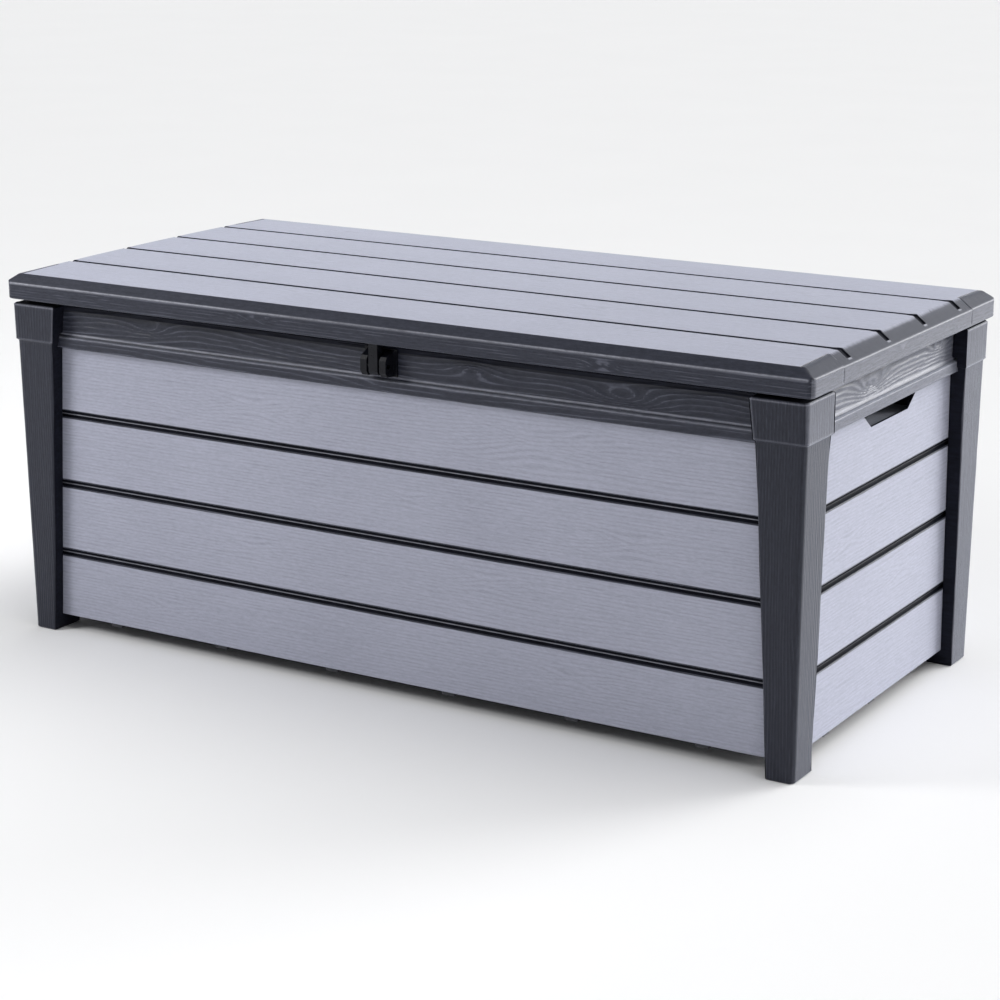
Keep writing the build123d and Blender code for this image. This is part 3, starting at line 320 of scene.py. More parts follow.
def board_material(name, light, light_low, dark, dark_high, sheen, painted_lighting=(0.30, 0.31, 0.375),
                   rub=(0.13, 0.137, 0.18)):
    """Resin moulded like wood: brushed light paint on raised planks and bare dark resin elsewhere, with
    painted highlights, painted sheen and painted shade on the bare resin.
    """
    s = Shader(name)
    paint, relief = s.attribute("paint"), s.attribute("relief")
    flow, place = s.attribute("grain", "Vector"), s.place()
    painted_light = s.attribute("painted_light")
    streak = s.noise(s.scaled(flow, (2.2, 3.2, 0.6)), 1.0, 5.0, 0.62)
    brush = s.noise(s.scaled(flow, (3.2, 0.5, 8.0)), 1.0, 5.0, 0.68)
    fleck = s.noise(s.scaled(flow, (14.0, 0.8, 5.0)), 1.0, 4.0, 0.7)
    cloud = s.noise(place, 5.5, 3.0, 0.5)
    speck = s.noise(place, 620.0, 2.0, 0.6)
    grit = s.noise(s.scaled(flow, (9.0, 1.1, 2.6)), 1.0, 5.0, 0.8)
    # the paint's edge wanders with the grain
    edge = s.math("ADD", paint, s.math("MULTIPLY", s.math("SUBTRACT", streak, 0.5), 1.6))
    cover = s.ramp(edge, 0.1, 1.3, soft=True)
    valley = s.math("MULTIPLY", s.ramp(relief, 0.55, 0.1), s.ramp(streak, 0.35, 0.7))
    cover = s.math("MULTIPLY", cover, s.math("SUBTRACT", 1.0, s.math("MULTIPLY", valley, 0.22)))
    tone = s.total((s.ramp(brush, 0.36, 0.64), 0.27), (s.ramp(fleck, 0.36, 0.64), 0.22),
                   (s.ramp(grit, 0.41, 0.59), 0.34), (s.ramp(streak, 0.35, 0.65), 0.10),
                   (s.ramp(cloud, 0.35, 0.65), 0.13), (s.ramp(relief, 0.1, 0.75), 0.16))
    tone = s.math("MULTIPLY", tone, 0.9)
    painted = s.mix(tone, light_low, light)
    # bare resin: mottled, with lighter rubbed tops on the raised grain
    mottle = s.total((s.ramp(brush, 0.38, 0.66), 0.4), (s.ramp(grit, 0.40, 0.64), 0.6))
    bare = s.mix(s.total((mottle, 0.75), (s.ramp(relief, 0.15, 0.8), 0.25)), dark, dark_high)
    rubbed = s.math("MULTIPLY", s.ramp(relief, 0.62, 0.92, soft=True), s.ramp(fleck, 0.2, 0.6, 0.35, 1.0))
    bare = s.mix(s.math("MULTIPLY", rubbed, 0.6), bare, rub)
    # painted highlights and painted sheen: the bare resin is painted lighter where that field is above zero
    painted_highlight_part = s.math("MULTIPLY", painted_light, s.ramp(s.math("ADD", brush, grit), 0.8, 1.15, 0.5, 1.0))
    bare = s.mix(s.math("MAXIMUM", painted_highlight_part, 0.0), bare, painted_lighting)
    # painted shade: the bare resin is painted near black where that field is below zero
    bare = s.mix(s.ramp(painted_light, 0.0, -1.0, 0.0, 0.8), bare, (0.004, 0.0045, 0.008))
    colour = s.mix(cover, bare, painted)
    rough = s.math("ADD", s.ramp(streak, 0.3, 0.7, 0.42, 0.54), s.math("MULTIPLY", cover, 0.12))
    height = s.total((streak, 0.35), (brush, 0.3), (fleck, 0.25), (speck, 0.15))
    return s.finish(base_color=colour, roughness=rough, normal=s.bump(height, 0.0008, 0.6),
                    specular_ior_level=0.32, sheen_weight=sheen, sheen_roughness=0.35,
                    sheen_tint=(0.84, 0.88, 1.0))


def painted_shade_material(name):
    """The resin down in the grooves, notches and hollows, painted near black as painted shade."""
    s = Shader(name)
    flow, painted_light = s.attribute("grain", "Vector"), s.attribute("painted_light")
    broad = s.noise(s.scaled(flow, (3.0, 1.0, 2.0)), 1.0, 4.0, 0.6)
    fine = s.noise(s.place(), 500.0, 3.0, 0.6)
    tone = s.mix(s.ramp(broad, 0.35, 0.65), (0.0045, 0.0052, 0.0105), (0.010, 0.0115, 0.021))
    # painted highlight on the groove bead, where that field is above zero
    colour = s.mix(s.math("MULTIPLY", painted_light, s.ramp(broad, 0.3, 0.6, 0.6, 1.0)), tone, (0.42, 0.43, 0.50))
    return s.finish(base_color=colour, roughness=s.ramp(fine, 0.3, 0.7, 0.6, 0.75),
                    normal=s.bump(fine, 0.0002, 0.5), specular_ior_level=0.15)


def resin_material(name, dark, high, rough=(0.4, 0.55), metal=0.0, grain=(1.0, 1.0, 1.0), scale=40.0,
                   bump=0.0003, specular=0.5):
    """Moulded or metal parts: a mottled tone, fine texture and a changing gloss."""
    s = Shader(name)
    place = s.scaled(s.place(), grain)
    broad = s.noise(place, scale, 4.0, 0.6)
    fine = s.noise(place, scale * 14, 3.0, 0.6)
    tone = s.total((broad, 0.65), (fine, 0.35))
    colour = s.mix(s.ramp(tone, 0.35, 0.65), dark, high)
    return s.finish(base_color=colour, roughness=s.ramp(fine, 0.3, 0.7, rough[0], rough[1]),
                    metallic=metal, normal=s.bump(tone, bump, 0.6), specular_ior_level=specular)


LIGHT, LIGHT_LOW = (0.465, 0.478, 0.58), (0.315, 0.325, 0.403)
LID_LIGHT, LID_LIGHT_LOW = (0.44, 0.452, 0.548), (0.285, 0.294, 0.366)
DARK, DARK_HIGH = (0.0125, 0.0145, 0.026), (0.042, 0.046, 0.069)
LEG_DARK, LEG_DARK_HIGH = (0.008, 0.0095, 0.019), (0.024, 0.027, 0.044)
panel_finish = board_material("panel_resin", LIGHT, LIGHT_LOW, DARK, DARK_HIGH, 0.7)
lid_finish = board_material("lid_resin", LID_LIGHT, LID_LIGHT_LOW, DARK, DARK_HIGH, 0.4,
                            painted_lighting=(0.44, 0.45, 0.52))
leg_finish = board_material("frame_resin", LIGHT, LIGHT_LOW, LEG_DARK, LEG_DARK_HIGH, 0.7,
                            rub=(0.055, 0.06, 0.085))
painted_shade_finish = painted_shade_material("shaded_resin")
finishes = {
    "liner_resin": resin_material("liner_resin", (0.035, 0.037, 0.045), (0.055, 0.058, 0.07)),
    "floor_resin": resin_material("floor_resin", (0.025, 0.027, 0.034), (0.045, 0.048, 0.058)),
    "hasp_resin": resin_material("hasp_resin", (0.003, 0.0034, 0.006), (0.007, 0.0078, 0.012), (0.25, 0.4),
                                 specular=0.2),
    "strut_black": resin_material("strut_black", (0.012, 0.012, 0.013), (0.022, 0.022, 0.024), (0.22, 0.35)),
    "bright_steel": resin_material("bright_steel", (0.52, 0.53, 0.55), (0.66, 0.67, 0.69), (0.12, 0.24), 1.0,
                                   (1, 1, 12), 60.0, 0.0001),
    "zinc_steel": resin_material("zinc_steel", (0.17, 0.175, 0.19), (0.27, 0.275, 0.29), (0.36, 0.5), 1.0),
    "rubber": resin_material("rubber", (0.012, 0.012, 0.012), (0.022, 0.022, 0.022), (0.7, 0.85)),
}


# ------------------------------------------------------------------ walls
def off_line(points, line):
    """Distance of each point from a line of straight runs."""
    best = np.full(len(points), 1e9)
    for a, b in zip(line[:-1], line[1:]):
        run = b - a
        t = np.clip(((points - a) @ run) / max(run @ run, 1e-9), 0, 1)
        best = np.minimum(best, np.linalg.norm(points - a - t[:, None] * run, axis=1))
    return best


def cad_outline(plank, rail, strip):
    """The CAD section of a wall's outer side, as (depth, height)."""
    line = [(plank, WALL_BOTTOM)]
    for middle in GROOVES:
        low, high = middle - GROOVE_HALF, middle + GROOVE_HALF
        line += [(plank, low - EDGE), (plank - EDGE, low), (plank - GROOVE_DEPTH, low + GROOVE_DRAFT),
                 (plank - GROOVE_DEPTH, high - GROOVE_DRAFT), (plank - EDGE, high), (plank, high + EDGE)]
    line += [(plank, PLANK_TOP), (plank - EDGE, PLANK_TOP + EDGE), (plank - EDGE, STRIP_LOW),
             (strip - EDGE, STRIP_LOW), (strip, STRIP_LOW + EDGE), (strip, STRIP_HIGH - EDGE),
             (strip - EDGE, STRIP_HIGH), (rail + EDGE, STRIP_HIGH + EDGE), (rail, RAIL_LOW),
             (rail, WALL_TOP - EDGE), (rail - EDGE, WALL_TOP)]
    return np.array(line)


def groove_rows(plank, middle):
    """The groove's cheeks, floor and raised bead."""
    floor = plank - GROOVE_DEPTH
    return [(floor + out, middle + up, GROOVE) for out, up in GROOVE_PROFILE]


def wall_rows(plank, rail, strip, step):
    """Rows up the outer side of a wall: depth, height and board number."""
    rows = []

    def run(d0, z0, d1, z1, board, size=step):
        count = max(1, round(math.hypot(d1 - d0, z1 - z0) / size))
        rows.extend((d0 + (d1 - d0) * k / count, z0 + (z1 - z0) * k / count, board) for k in range(count))

    def arc(d, z, turn, board):
        """A quarter round of the edge radius; turn is +1 where the board ends and -1 where it starts."""
        angles = (0, 22, 45, 68) if turn > 0 else (90, 68, 45, 22)
        for angle in angles:
            a = math.radians(angle)
            rows.append((d - EDGE * (1 - math.cos(a)), z + turn * EDGE * math.sin(a), board))

    low = WALL_BOTTOM
    for number, middle in enumerate(GROOVES):
        high = middle - GROOVE_HALF - EDGE
        run(plank, low, plank, high, number)
        arc(plank, high, 1, number)
        rows.extend(groove_rows(plank, middle))
        low = middle + GROOVE_HALF + EDGE
        arc(plank, low, -1, number + 1)
    run(plank, low, plank, HOLD_LOW, PLANKS - 1)
    run(plank, HOLD_LOW, plank, PLANK_TOP, PLANKS - 1)
    arc(plank, PLANK_TOP, 1, PLANKS - 1)
    rows.append((plank - EDGE, PLANK_TOP + EDGE, GROOVE))
    run(plank - EDGE, STRIP_LOW, strip - EDGE, STRIP_LOW, GROOVE, 3.0)
    arc(strip, STRIP_LOW + EDGE, -1, STRIP)
    run(strip, STRIP_LOW + EDGE, strip, STRIP_HIGH - EDGE, STRIP, 1.9)
    arc(strip, STRIP_HIGH - EDGE, 1, STRIP)
    run(strip - EDGE, STRIP_HIGH, rail + EDGE, STRIP_HIGH + EDGE, STRIP, 2.0)
    run(rail + EDGE, STRIP_HIGH + EDGE, rail, RAIL_LOW, RAIL, 1.2)
    run(rail, RAIL_LOW, rail, WALL_TOP - EDGE, RAIL, 1.5)
    arc(rail, WALL_TOP - EDGE, 1, RAIL)
    rows.append((rail - EDGE, WALL_TOP, RAIL))
    return np.array(rows)


def wall_columns(half, height, axis, step):
    """Columns along a wall, and the place along it of every grid point."""
    if axis == 0:
        columns = np.linspace(-half, half, round(2 * half / step) + 1)
        return columns, np.tile(columns, (len(height), 1))
    # the columns lean so that two of them follow the slanted ends of the hand-hold
    stops = [-half, HOLD_START, HOLD_END, half]
    columns = packed(stops, step)
    rise = np.clip((height - HOLD_LOW) / (STRIP_LOW - HOLD_LOW), 0, 1)
    rise = np.where(height > STRIP_LOW, (WALL_TOP - height) / (WALL_TOP - STRIP_LOW), rise)
    lean = (HOLD_HIGH_HALF - HOLD_LOW_HALF) * rise[:, None]
    return columns, columns + lean * np.interp(columns, stops, (0, -1, 1, 0))


def wall_fields(u, z, board, seed, knots):
    """Rings, relief, paint and place across each board. Planks are painted; the rest is bare."""
    ring, relief, across = (np.zeros(u.shape) for _ in range(3))
    paint = np.full(u.shape, BARE)
    for number, (middle, half) in enumerate(zip(BOARD_MIDDLES, BOARD_HALVES)):
        here = board == number
        v = z[here] - middle
        pitch, sway, sharp = (5.2, 1.3, 1.4) if number < PLANKS else (8.4, 2.2, 2.0)
        rings = growth(u[here], v, seed + 7 * number, pitch, sway, knots.get(number, ()))
        ring[here] = rings
        relief[here] = ridges(rings, u[here], v, seed + number, sharp)
        across[here] = v
        if number < PLANKS:
            paint[here] = np.clip(half - np.abs(v), BARE, PAINT_MOST)
    ring[board == GROOVE] = z[board == GROOVE] / 8
    relief[board == GROOVE] = 0.4
    return ring, relief, paint, across


def wall_sink(height, board, relief):
    """How far the raised grain's valleys lie below the CAD face; it fades out at each board's edges."""
    amount = np.select([board == GROOVE, board == STRIP, board == RAIL], [0.0, 0.35, 1.3], 0.30)[:, None]
    middles = np.array(BOARD_MIDDLES + (0,))[board.astype(int)]
    halves = np.array(BOARD_HALVES + (1,))[board.astype(int)]
    fade = np.clip((halves - np.abs(height - middles)) / 3.0, 0, 1)[:, None]
    return amount * smooth(fade) * (1 - relief)


def wall_painted_light(height, board, axis):
    """How far each row is painted lighter with painted highlights and painted sheen, or below zero how far it
    is painted darker with painted shade.
    """
    # painted highlights along the edges that stand proud, and painted sheen on the bare boards of the end
    # walls
    painted_lighting = np.where(board == STRIP, 1.3 * band(STRIP_HIGH - 0.3 - height, 0.9), 0)
    painted_lighting = painted_lighting + np.where((board >= STRIP) & (np.abs(height - RAIL_LOW + 0.6) < 0.9), 0.9, 0)
    painted_lighting = painted_lighting + np.select([board == STRIP, board == RAIL], [END_PAINTED_SHEEN, END_PAINTED_SHEEN * 1.1], 0) * axis
    # painted shade on the top of the rail, under the overhanging lid
    painted_lighting = painted_lighting - np.where(board == RAIL, smooth(np.clip((height - WALL_TOP + 17) / 13, 0, 1)), 0)
    # painted highlight on the bead in each groove, where it would catch the light on the long walls
    bead = np.min([np.abs(height - middle + 0.9) for middle in GROOVES], axis=0)
    return np.where((board == GROOVE) & (bead < 0.7), 0.85 - 0.75 * axis, np.minimum(painted_lighting, 1.0))


def hand_hold(points, columns, depth, height, plank, side):
    """The grid faces that are left round the hand-hold, and the sides of its cup as a part."""
    first = int(np.argmin(np.abs(height - HOLD_LOW)))
    last = int(np.flatnonzero((height == STRIP_LOW) & (depth == plank - EDGE))[0])
    left = int(np.argmin(np.abs(columns - HOLD_START)))
    right = int(np.argmin(np.abs(columns - HOLD_END)))
    keep = np.ones((len(height) - 1, len(columns) - 1), bool)
    keep[first:last, left:right] = False
    loop = [(first, c) for c in range(left, right)] + [(r, right) for r in range(first, last)]
    loop += [(last, c) for c in range(right, left, -1)] + [(r, left) for r in range(last, first, -1)]
    edge = np.array([points[r * len(columns) + c] for r, c in loop])
    back = edge.copy()
    back[:, 0] = side * CUP_FACE
    n = len(loop)
    sides = [(k, (k + 1) % n, n + (k + 1) % n, n + k) for k in range(n)]
    if side < 0:
        sides = [face[::-1] for face in sides]
    return keep, (np.concatenate((edge, back)), sides, None, 1)


def wall_test(size, side, axis):
    """A test for the faces of a wall's outer side and of its hand-hold's sides."""
    plank, rail, strip, _ = size
    outline = cad_outline(plank, rail, strip)

    def is_outside(corners, normal):
        if abs(normal[axis]) > 0.5:
            return False
        deep, level = side * corners[:, 1 - axis], corners[:, 2]
        if axis == 1:
            in_cup = (deep > CUP_FACE - NEAR) & (deep < plank + NEAR)
            in_cup &= (level > HOLD_LOW - NEAR) & (level < STRIP_LOW + NEAR)
            in_cup &= np.abs(corners[:, 1] - HOLD_CENTRE) < HOLD_HIGH_HALF + 0.6
            if np.all(in_cup) and abs(normal[0]) < 0.2:
                return True
            if np.all((deep > CUP_FACE - NEAR) & (np.abs(level - STRIP_LOW) < 0.03)):
                return True
        if np.any(deep < plank - GROOVE_DEPTH - NEAR):
            return False
        return bool(np.all(off_line(np.stack((deep, level), -1), outline) < 0.04))

    return is_outside


def wall_piece(name, node, size, side, axis, seed, knots, step):
    """A wall whose outer skin carries raised grain. Axis 0 is a wall along X, 1 a wall along Y."""
    plank, rail, strip, half = size
    depth, height, board = wall_rows(plank, rail, strip, 2.6).T
    columns, u = wall_columns(half, height, axis, step)
    z = np.tile(height[:, None], (1, u.shape[1]))
    ring, relief, paint, across = wall_fields(u, z, board, seed, knots)
    out = side * (depth[:, None] - wall_sink(height, board, relief))
    points = np.stack((u, out, z) if axis == 0 else (out, u, z), -1).reshape(-1, 3)
    painted_lighting = wall_painted_light(height, board, axis)
    fields = {"paint": paint.ravel(), "relief": relief.ravel(), "grain": grain_place(u, ring, across),
              "painted_light": np.tile(painted_lighting[:, None], (1, u.shape[1])).ravel()}
    # groove faces and the top of the rail get the painted-shade material
    painted_shade_rows = (board == GROOVE) | (height > WALL_TOP - 9)
    kinds = np.tile((painted_shade_rows[:-1] & painted_shade_rows[1:])[:, None], (1, u.shape[1] - 1)).astype(int)
    keep, cups = np.ones(kinds.shape, bool), []
    if axis == 1:
        keep, cup = hand_hold(points, columns, depth, height, plank, side)
        cups.append(cup)
    faces = grid_faces(len(height), len(columns), (side > 0) == (axis == 0), keep)
    rest = cad_rest(node, wall_test(size, side, axis))
    return make_piece(name, [(*rest, None, 0), (points, faces, fields, kinds[keep]), *cups],
                      [panel_finish, painted_shade_finish], "box", [node])


# knots on each board: place along it, place across it, size and number of rings
LONG_KNOTS = {0: ((330, 10, 15, 2.2), (-430, -6, 13, 2.0)), 1: ((180, 18, 15, 2.2), (-260, 4, 14, 1.8)),
              2: ((430, -8, 16, 2.4), (40, 10, 12, 1.8)), 3: ((262, 2, 30, 4.2), (-250, -2, 23, 3.0)),
              5: ((-452, 2, 13, 2.6), (160, 4, 10, -2.2), (420, -6, 15, 3.6))}
REAR_KNOTS = {0: ((-240, 6, 14, 2.2),), 1: ((350, -14, 15, 2.4),), 2: ((120, 0, 14, 2.2),),
              3: ((-100, 4, 26, 3.8),), 5: ((230, 4, 12, 3.0), (-420, -6, 11, -2.4))}
END_KNOTS = {1: ((90, 12, 14, 2.2),), 2: ((-120, -10, 14, 2.2),), 5: ((-70, -3, 15, 3.6), (190, 8, 9, 2.0))}
wall_piece("front_wall", "front_panel", LONG_WALL, -1, 0, 101, LONG_KNOTS, 5.0)
wall_piece("rear_wall", "rear_panel", LONG_WALL, 1, 0, 201, REAR_KNOTS, 5.0)
wall_piece("right_end_wall", "right_end_panel", END_WALL, 1, 1, 301, END_KNOTS, 4.0)
wall_piece("left_end_wall", "left_end_panel", END_WALL, -1, 1, 401, END_KNOTS, 4.0)


# ------------------------------------------------------------------ lid
def soft_min(a, b, k):
    h = np.clip(0.5 + 0.5 * (b - a) / k, 0, 1)
    return b + (a - b) * h - k * h * (1 - h)


def groove_half(ax):
    """Half width of a lid groove, which widens into its notch near the end of the lid."""
    return LID_GROOVE_HALF + (CUT_HALF - LID_GROOVE_HALF) * smooth(np.clip((ax - CUT_START) / CUT_RUN, 0, 1))


def lid_height(x, y):
    """Height of the lid's top: crown, bevels, grooves, corner creases."""
    ax, ay = np.abs(x), np.abs(y)
    crown = LID_TOP - (LID_TOP - FRONT_TOP) * (ay / BEVEL_Y) ** 2
    front = FRONT_RIM + (LID_Y - ay) * (FRONT_TOP - FRONT_RIM) / FRONT_INSET
    end = END_RIM + (LID_X - ax) * (END_TOP - END_RIM) / END_INSET
    # the bevel between the corner blocks lies a little lower than the blocks
    block = smooth(np.clip((ay - CREASE_Y) / 0.8, 0, 1))
    end = end - 0.9 * (1 - block) * smooth(np.clip((ax - BEVEL_X) / 3, 0, 1))
    top = soft_min(soft_min(crown, end, 1.6), front, 1.2)
    slope = np.clip((ax - BEVEL_X) / (LID_GROOVE_END - BEVEL_X), 0, 1)
    floor = LID_GROOVE_FLOOR + (LID_GROOVE_END_FLOOR - LID_GROOVE_FLOOR) * slope
    half = groove_half(ax)
    for middle in LID_GROOVES:
        away = np.abs(y - middle)
        inside = np.clip((half - away) / 0.5, 0, 1) * np.clip((LID_GROOVE_END + 0.5 - ax) / 0.5, 0, 1)
        shoulder = 0.7 * np.clip(1 - (away - half) / 1.6, 0, 1) ** 2 * (ax < LID_GROOVE_END)
        top = top - np.where(away > half, shoulder, 0)
        top = top + (np.minimum(floor, top) - top) * inside
    crease = np.clip(1 - np.abs(ax - CREASE_X) / 1.2, 0, 1) * np.clip((ay - CREASE_Y + 0.6) / 0.6, 0, 1)
    return top - 1.5 * smooth(crease) * np.clip((BEVEL_Y + 1 - ay) / 3, 0, 1)


def lid_fields(x, y):
    """Rings, relief, paint and painted highlights of the lid's top, and which points lie in the grooves."""
    ax, ay = np.abs(x), np.abs(y)
    edges = np.array((-BEVEL_Y,) + LID_GROOVES + (BEVEL_Y,))
    last = len(LID_GROOVES)
    plank = np.clip(np.searchsorted(edges, y) - 1, 0, last)
    ring, relief = np.zeros(x.shape), np.zeros(x.shape)
    for number in range(last + 1):
        here = plank == number
        v = y[here] - (edges[number] + edges[number + 1]) / 2
        rings = growth(x[here], v, 501 + 9 * number, 6.4, 1.6, LID_KNOTS.get(number, ()))
        ring[here], relief[here] = rings, ridges(rings, x[here], v, 511 + number)
    nearest = np.min([np.abs(y - middle) for middle in LID_GROOVES], axis=0)
    half = groove_half(ax)
    paint_x = np.where(ay > CREASE_Y, CREASE_X - 0.6 - ax, (BEVEL_X + 6.5 - ax) * 0.17)
    paint = np.minimum(np.minimum(nearest - half - 0.9, BEVEL_Y - 0.2 - ay), paint_x)
    # painted highlights: on the ridge between bevel and rim, and at the foot of each notch
    fading = 0.62 + 0.38 * noise(x / 170, y * 0 + 0.5, 91)
    painted_light = 1.1 * fading * band(LID_Y - ay - 0.45, 0.55) + 0.45 * band(LID_X - ax - 0.7, 0.8)
    painted_light = painted_light + band(ax - LID_GROOVE_END - 1.6, 1.3) * np.clip((CUT_HALF - nearest) / 1.5, 0, 1)
    relief = np.where(paint < -0.5, 0.35, relief)
    # points in the grooves, whose faces get painted shade
    painted_shade_mask = (nearest < half - NEAR) & (ax < LID_GROOVE_END + NEAR)
    return ring, relief, np.clip(paint, BARE, PAINT_MOST), np.clip(painted_light, 0, 1), painted_shade_mask


def lid_grid():
    """The lid's grid from above, with its square corners turned into round ones."""
    beside = sorted(middle + side * away for middle in LID_GROOVES if middle > 0
                    for side in (-1, 1) for away in BESIDE_GROOVE)
    half_x = packed([0, 440, END_LINES[0]], 6.0).tolist()[:-1] + packed(END_LINES, 5.5).tolist()
    half_y = packed([0] + beside + SIDE_LINES, 2.7).tolist()
    x, y = np.meshgrid([-v for v in half_x[:0:-1]] + half_x, [-v for v in half_y[:0:-1]] + half_y)
    a = (np.abs(x) - STRAIGHT_X) / LID_CORNER
    b = (np.abs(y) - STRAIGHT_Y) / LID_CORNER
    corner = (a > 0) & (b > 0)
    share = np.where(corner, np.maximum(a, b) / np.maximum(np.hypot(a, b), 1e-9), 1)
    x = np.where(corner, np.sign(x) * (STRAIGHT_X + LID_CORNER * a * share), x)
    y = np.where(corner, np.sign(y) * (STRAIGHT_Y + LID_CORNER * b * share), y)
    # distance from the rim line
    rim = np.where(corner, LID_CORNER * (1 - np.minimum(1, np.maximum(a, b))),
                   np.minimum(LID_X - np.abs(x), LID_Y - np.abs(y)))
    return x, y, rim


def lid_surface(x, y, rim, relief, paint, painted_shade_mask):
    """Height of the lid's top with its rounded edge and its raised grain."""
    dip = np.clip((LID_ROUND - rim) / LID_ROUND, 0, 1)
    z = lid_height(x, y) - LID_ROUND * (1 - np.sqrt(1 - dip ** 2)) * 0.9
    depth = 0.3 * smooth(np.clip(paint / 3, 0, 1)) + 0.15 * (paint <= 0) * ~painted_shade_mask
    return z - depth * (1 - relief) * np.clip(rim / 3, 0, 1)


def rim_path(x, y):
    """Grid rows and columns round the lid's outline, and the outward direction at each."""
    ny, nx = x.shape
    loop = [(0, i) for i in range(nx - 1)] + [(j, nx - 1) for j in range(ny - 1)]
    loop += [(ny - 1, i) for i in range(nx - 1, 0, -1)] + [(j, 0) for j in range(ny - 1, 0, -1)]
    rows, columns = np.array(loop).T
    px, py = x[rows, columns], y[rows, columns]
    out = np.stack((px - np.clip(px, -STRAIGHT_X, STRAIGHT_X), py - np.clip(py, -STRAIGHT_Y, STRAIGHT_Y)), -1)
    on_end = (np.abs(px) >= LID_X - 1e-6) & (np.abs(py) <= STRAIGHT_Y)
    on_side = (np.abs(py) >= LID_Y - 1e-6) & (np.abs(px) <= STRAIGHT_X)
    out[on_end] = np.stack((np.sign(px), 0 * py), -1)[on_end]
    out[on_side] = np.stack((0 * px, np.sign(py)), -1)[on_side]
    return rows, columns, out / np.linalg.norm(out, axis=1)[:, None]


def lid_rim(px, py, pz, out):
    """Points and fields of the upright rim and its rounded foot, ring by ring from the top down."""
    run = np.concatenate(([0], np.cumsum(np.hypot(np.diff(px), np.diff(py)))))
    seam = band(np.abs(py) - CREASE_Y, 0.9) * (np.abs(px) > LID_X - 1)
    levels = [pz + (NOTCH_TOP - pz) * share for share in np.linspace(0, 1, RIM_ROWS + 1)[1:]]
    levels.append(np.full(len(px), RIM_LOW + RIM_FILLET))
    points, relief, grain = [], [], []

    def add(inset, level, raised, rings):
        points.append(np.column_stack((px - out[:, 0] * inset, py - out[:, 1] * inset, level)))
        relief.append(raised)
        grain.append(grain_place(run, rings, level))

    for number, level in enumerate(levels):
        rings = growth(run, level - RIM_MIDDLE, 601, 5.4, 1.7, RIM_KNOTS)
        raised = ridges(rings, run, level, 611)
        sink = 0.35 * (1 - raised) * (0.3 if number == 0 else 1.0) + 0.8 * seam
        add(sink * (0 if number == RIM_ROWS else 1), level, raised, rings)
    for angle in (25, 50, 70, 90):
        a = math.radians(angle)
        level = np.full(len(px), RIM_LOW + RIM_FILLET - RIM_FILLET * math.sin(a))
        add(RIM_FILLET * (1 - math.cos(a)), level, np.full(len(px), 0.5), level / 5)
    # painted sheen on the rim's end faces
    painted_light = np.tile(0.72 * END_PAINTED_SHEEN * (np.abs(out[:, 0]) > 0.7), len(points))
    return points, {"paint": np.full(len(painted_light), BARE), "relief": np.concatenate(relief), "painted_light": painted_light,
                    "grain": np.concatenate(grain)}


def rim_faces(px, py, top_index, base, rings):
    """Faces down the rim, with a gap below the notch level at each hinge."""
    n = len(px)
    following = np.roll(np.arange(n), -1)
    middle_x = (px + px[following]) / 2
    at_hinge = np.any([np.abs(middle_x - hinge) < NOTCH_HALF for hinge in HINGES], axis=0) & (py > LID_Y - 1)
    faces = []
    for k in range(rings):
        above = top_index if k == 0 else base + (k - 1) * n + np.arange(n)
        below = base + k * n + np.arange(n)
        whole = ~at_hinge if k >= RIM_ROWS else np.ones(n, bool)
        ring = np.column_stack((above, below, below[following], above[following]))
        faces.extend(ring[whole].tolist())
    return faces


def lid_outside(corners, normal):
    """True for the faces of the lid's outer skin: top, grooves, creases, rim and the rim's rounded foot."""
    centre = corners.mean(0)
    if normal[2] > 0.03:
        return True
    qx, qy = abs(centre[0]) - STRAIGHT_X, abs(centre[1]) - STRAIGHT_Y
    if qx > 0 and qy > 0:
        inset = LID_CORNER - math.hypot(qx, qy)
    else:
        inset = min(LID_X - abs(centre[0]), LID_Y - abs(centre[1]))
    if abs(normal[2]) <= 0.03:
        if inset < 1.0:
            return True
        nearest = min(abs(centre[1] - middle) for middle in LID_GROOVES)
        if nearest <= CUT_HALF + NEAR and centre[2] > FRONT_RIM:
            return True
        return (abs(abs(centre[0]) - CREASE_X) < 1.3 and abs(centre[1]) > CREASE_Y - 1
                and centre[2] > 608 and inset > 10)
    foot = centre[2] < RIM_LOW + RIM_FILLET + NEAR and inset < RIM_FILLET + 0.01
    return foot and normal[2] > -0.999


def lid_piece():
    x, y, rim = lid_grid()
    ring, relief, paint, painted_light, painted_shade_mask = lid_fields(x, y)
    z = lid_surface(x, y, rim, relief, paint, painted_shade_mask)
    ny, nx = x.shape
    top = np.stack((x, y, z), -1).reshape(-1, 3)
    top_fields = {"paint": paint.ravel(), "relief": relief.ravel(), "painted_light": painted_light.ravel(),
                  "grain": grain_place(x, ring, y)}
    # faces in the grooves get the painted-shade material
    kinds = (painted_shade_mask[:-1, :-1] | painted_shade_mask[1:, 1:] | painted_shade_mask[:-1, 1:] | painted_shade_mask[1:, :-1]).astype(int).ravel()
    rows, columns, out = rim_path(x, y)
    px, py, pz = (values[rows, columns] for values in (x, y, z))
    rim_points, rim_fields = lid_rim(px, py, pz, out)
    skirt = rim_faces(px, py, rows * nx + columns, ny * nx, len(rim_points))
    points = np.concatenate([top] + rim_points)
    faces = grid_faces(ny, nx, False).tolist() + skirt
    fields = {key: np.concatenate((top_fields[key], rim_fields[key])) for key in top_fields}
    kinds = np.concatenate((kinds, np.zeros(len(skirt), int)))
    rest = cad_rest("lid_deck", lid_outside)
    return make_piece("lid_top", [(*rest, None, 0), (points, faces, fields, kinds)],
                      [lid_finish, painted_shade_finish], "lid", ["lid_deck"], 42)


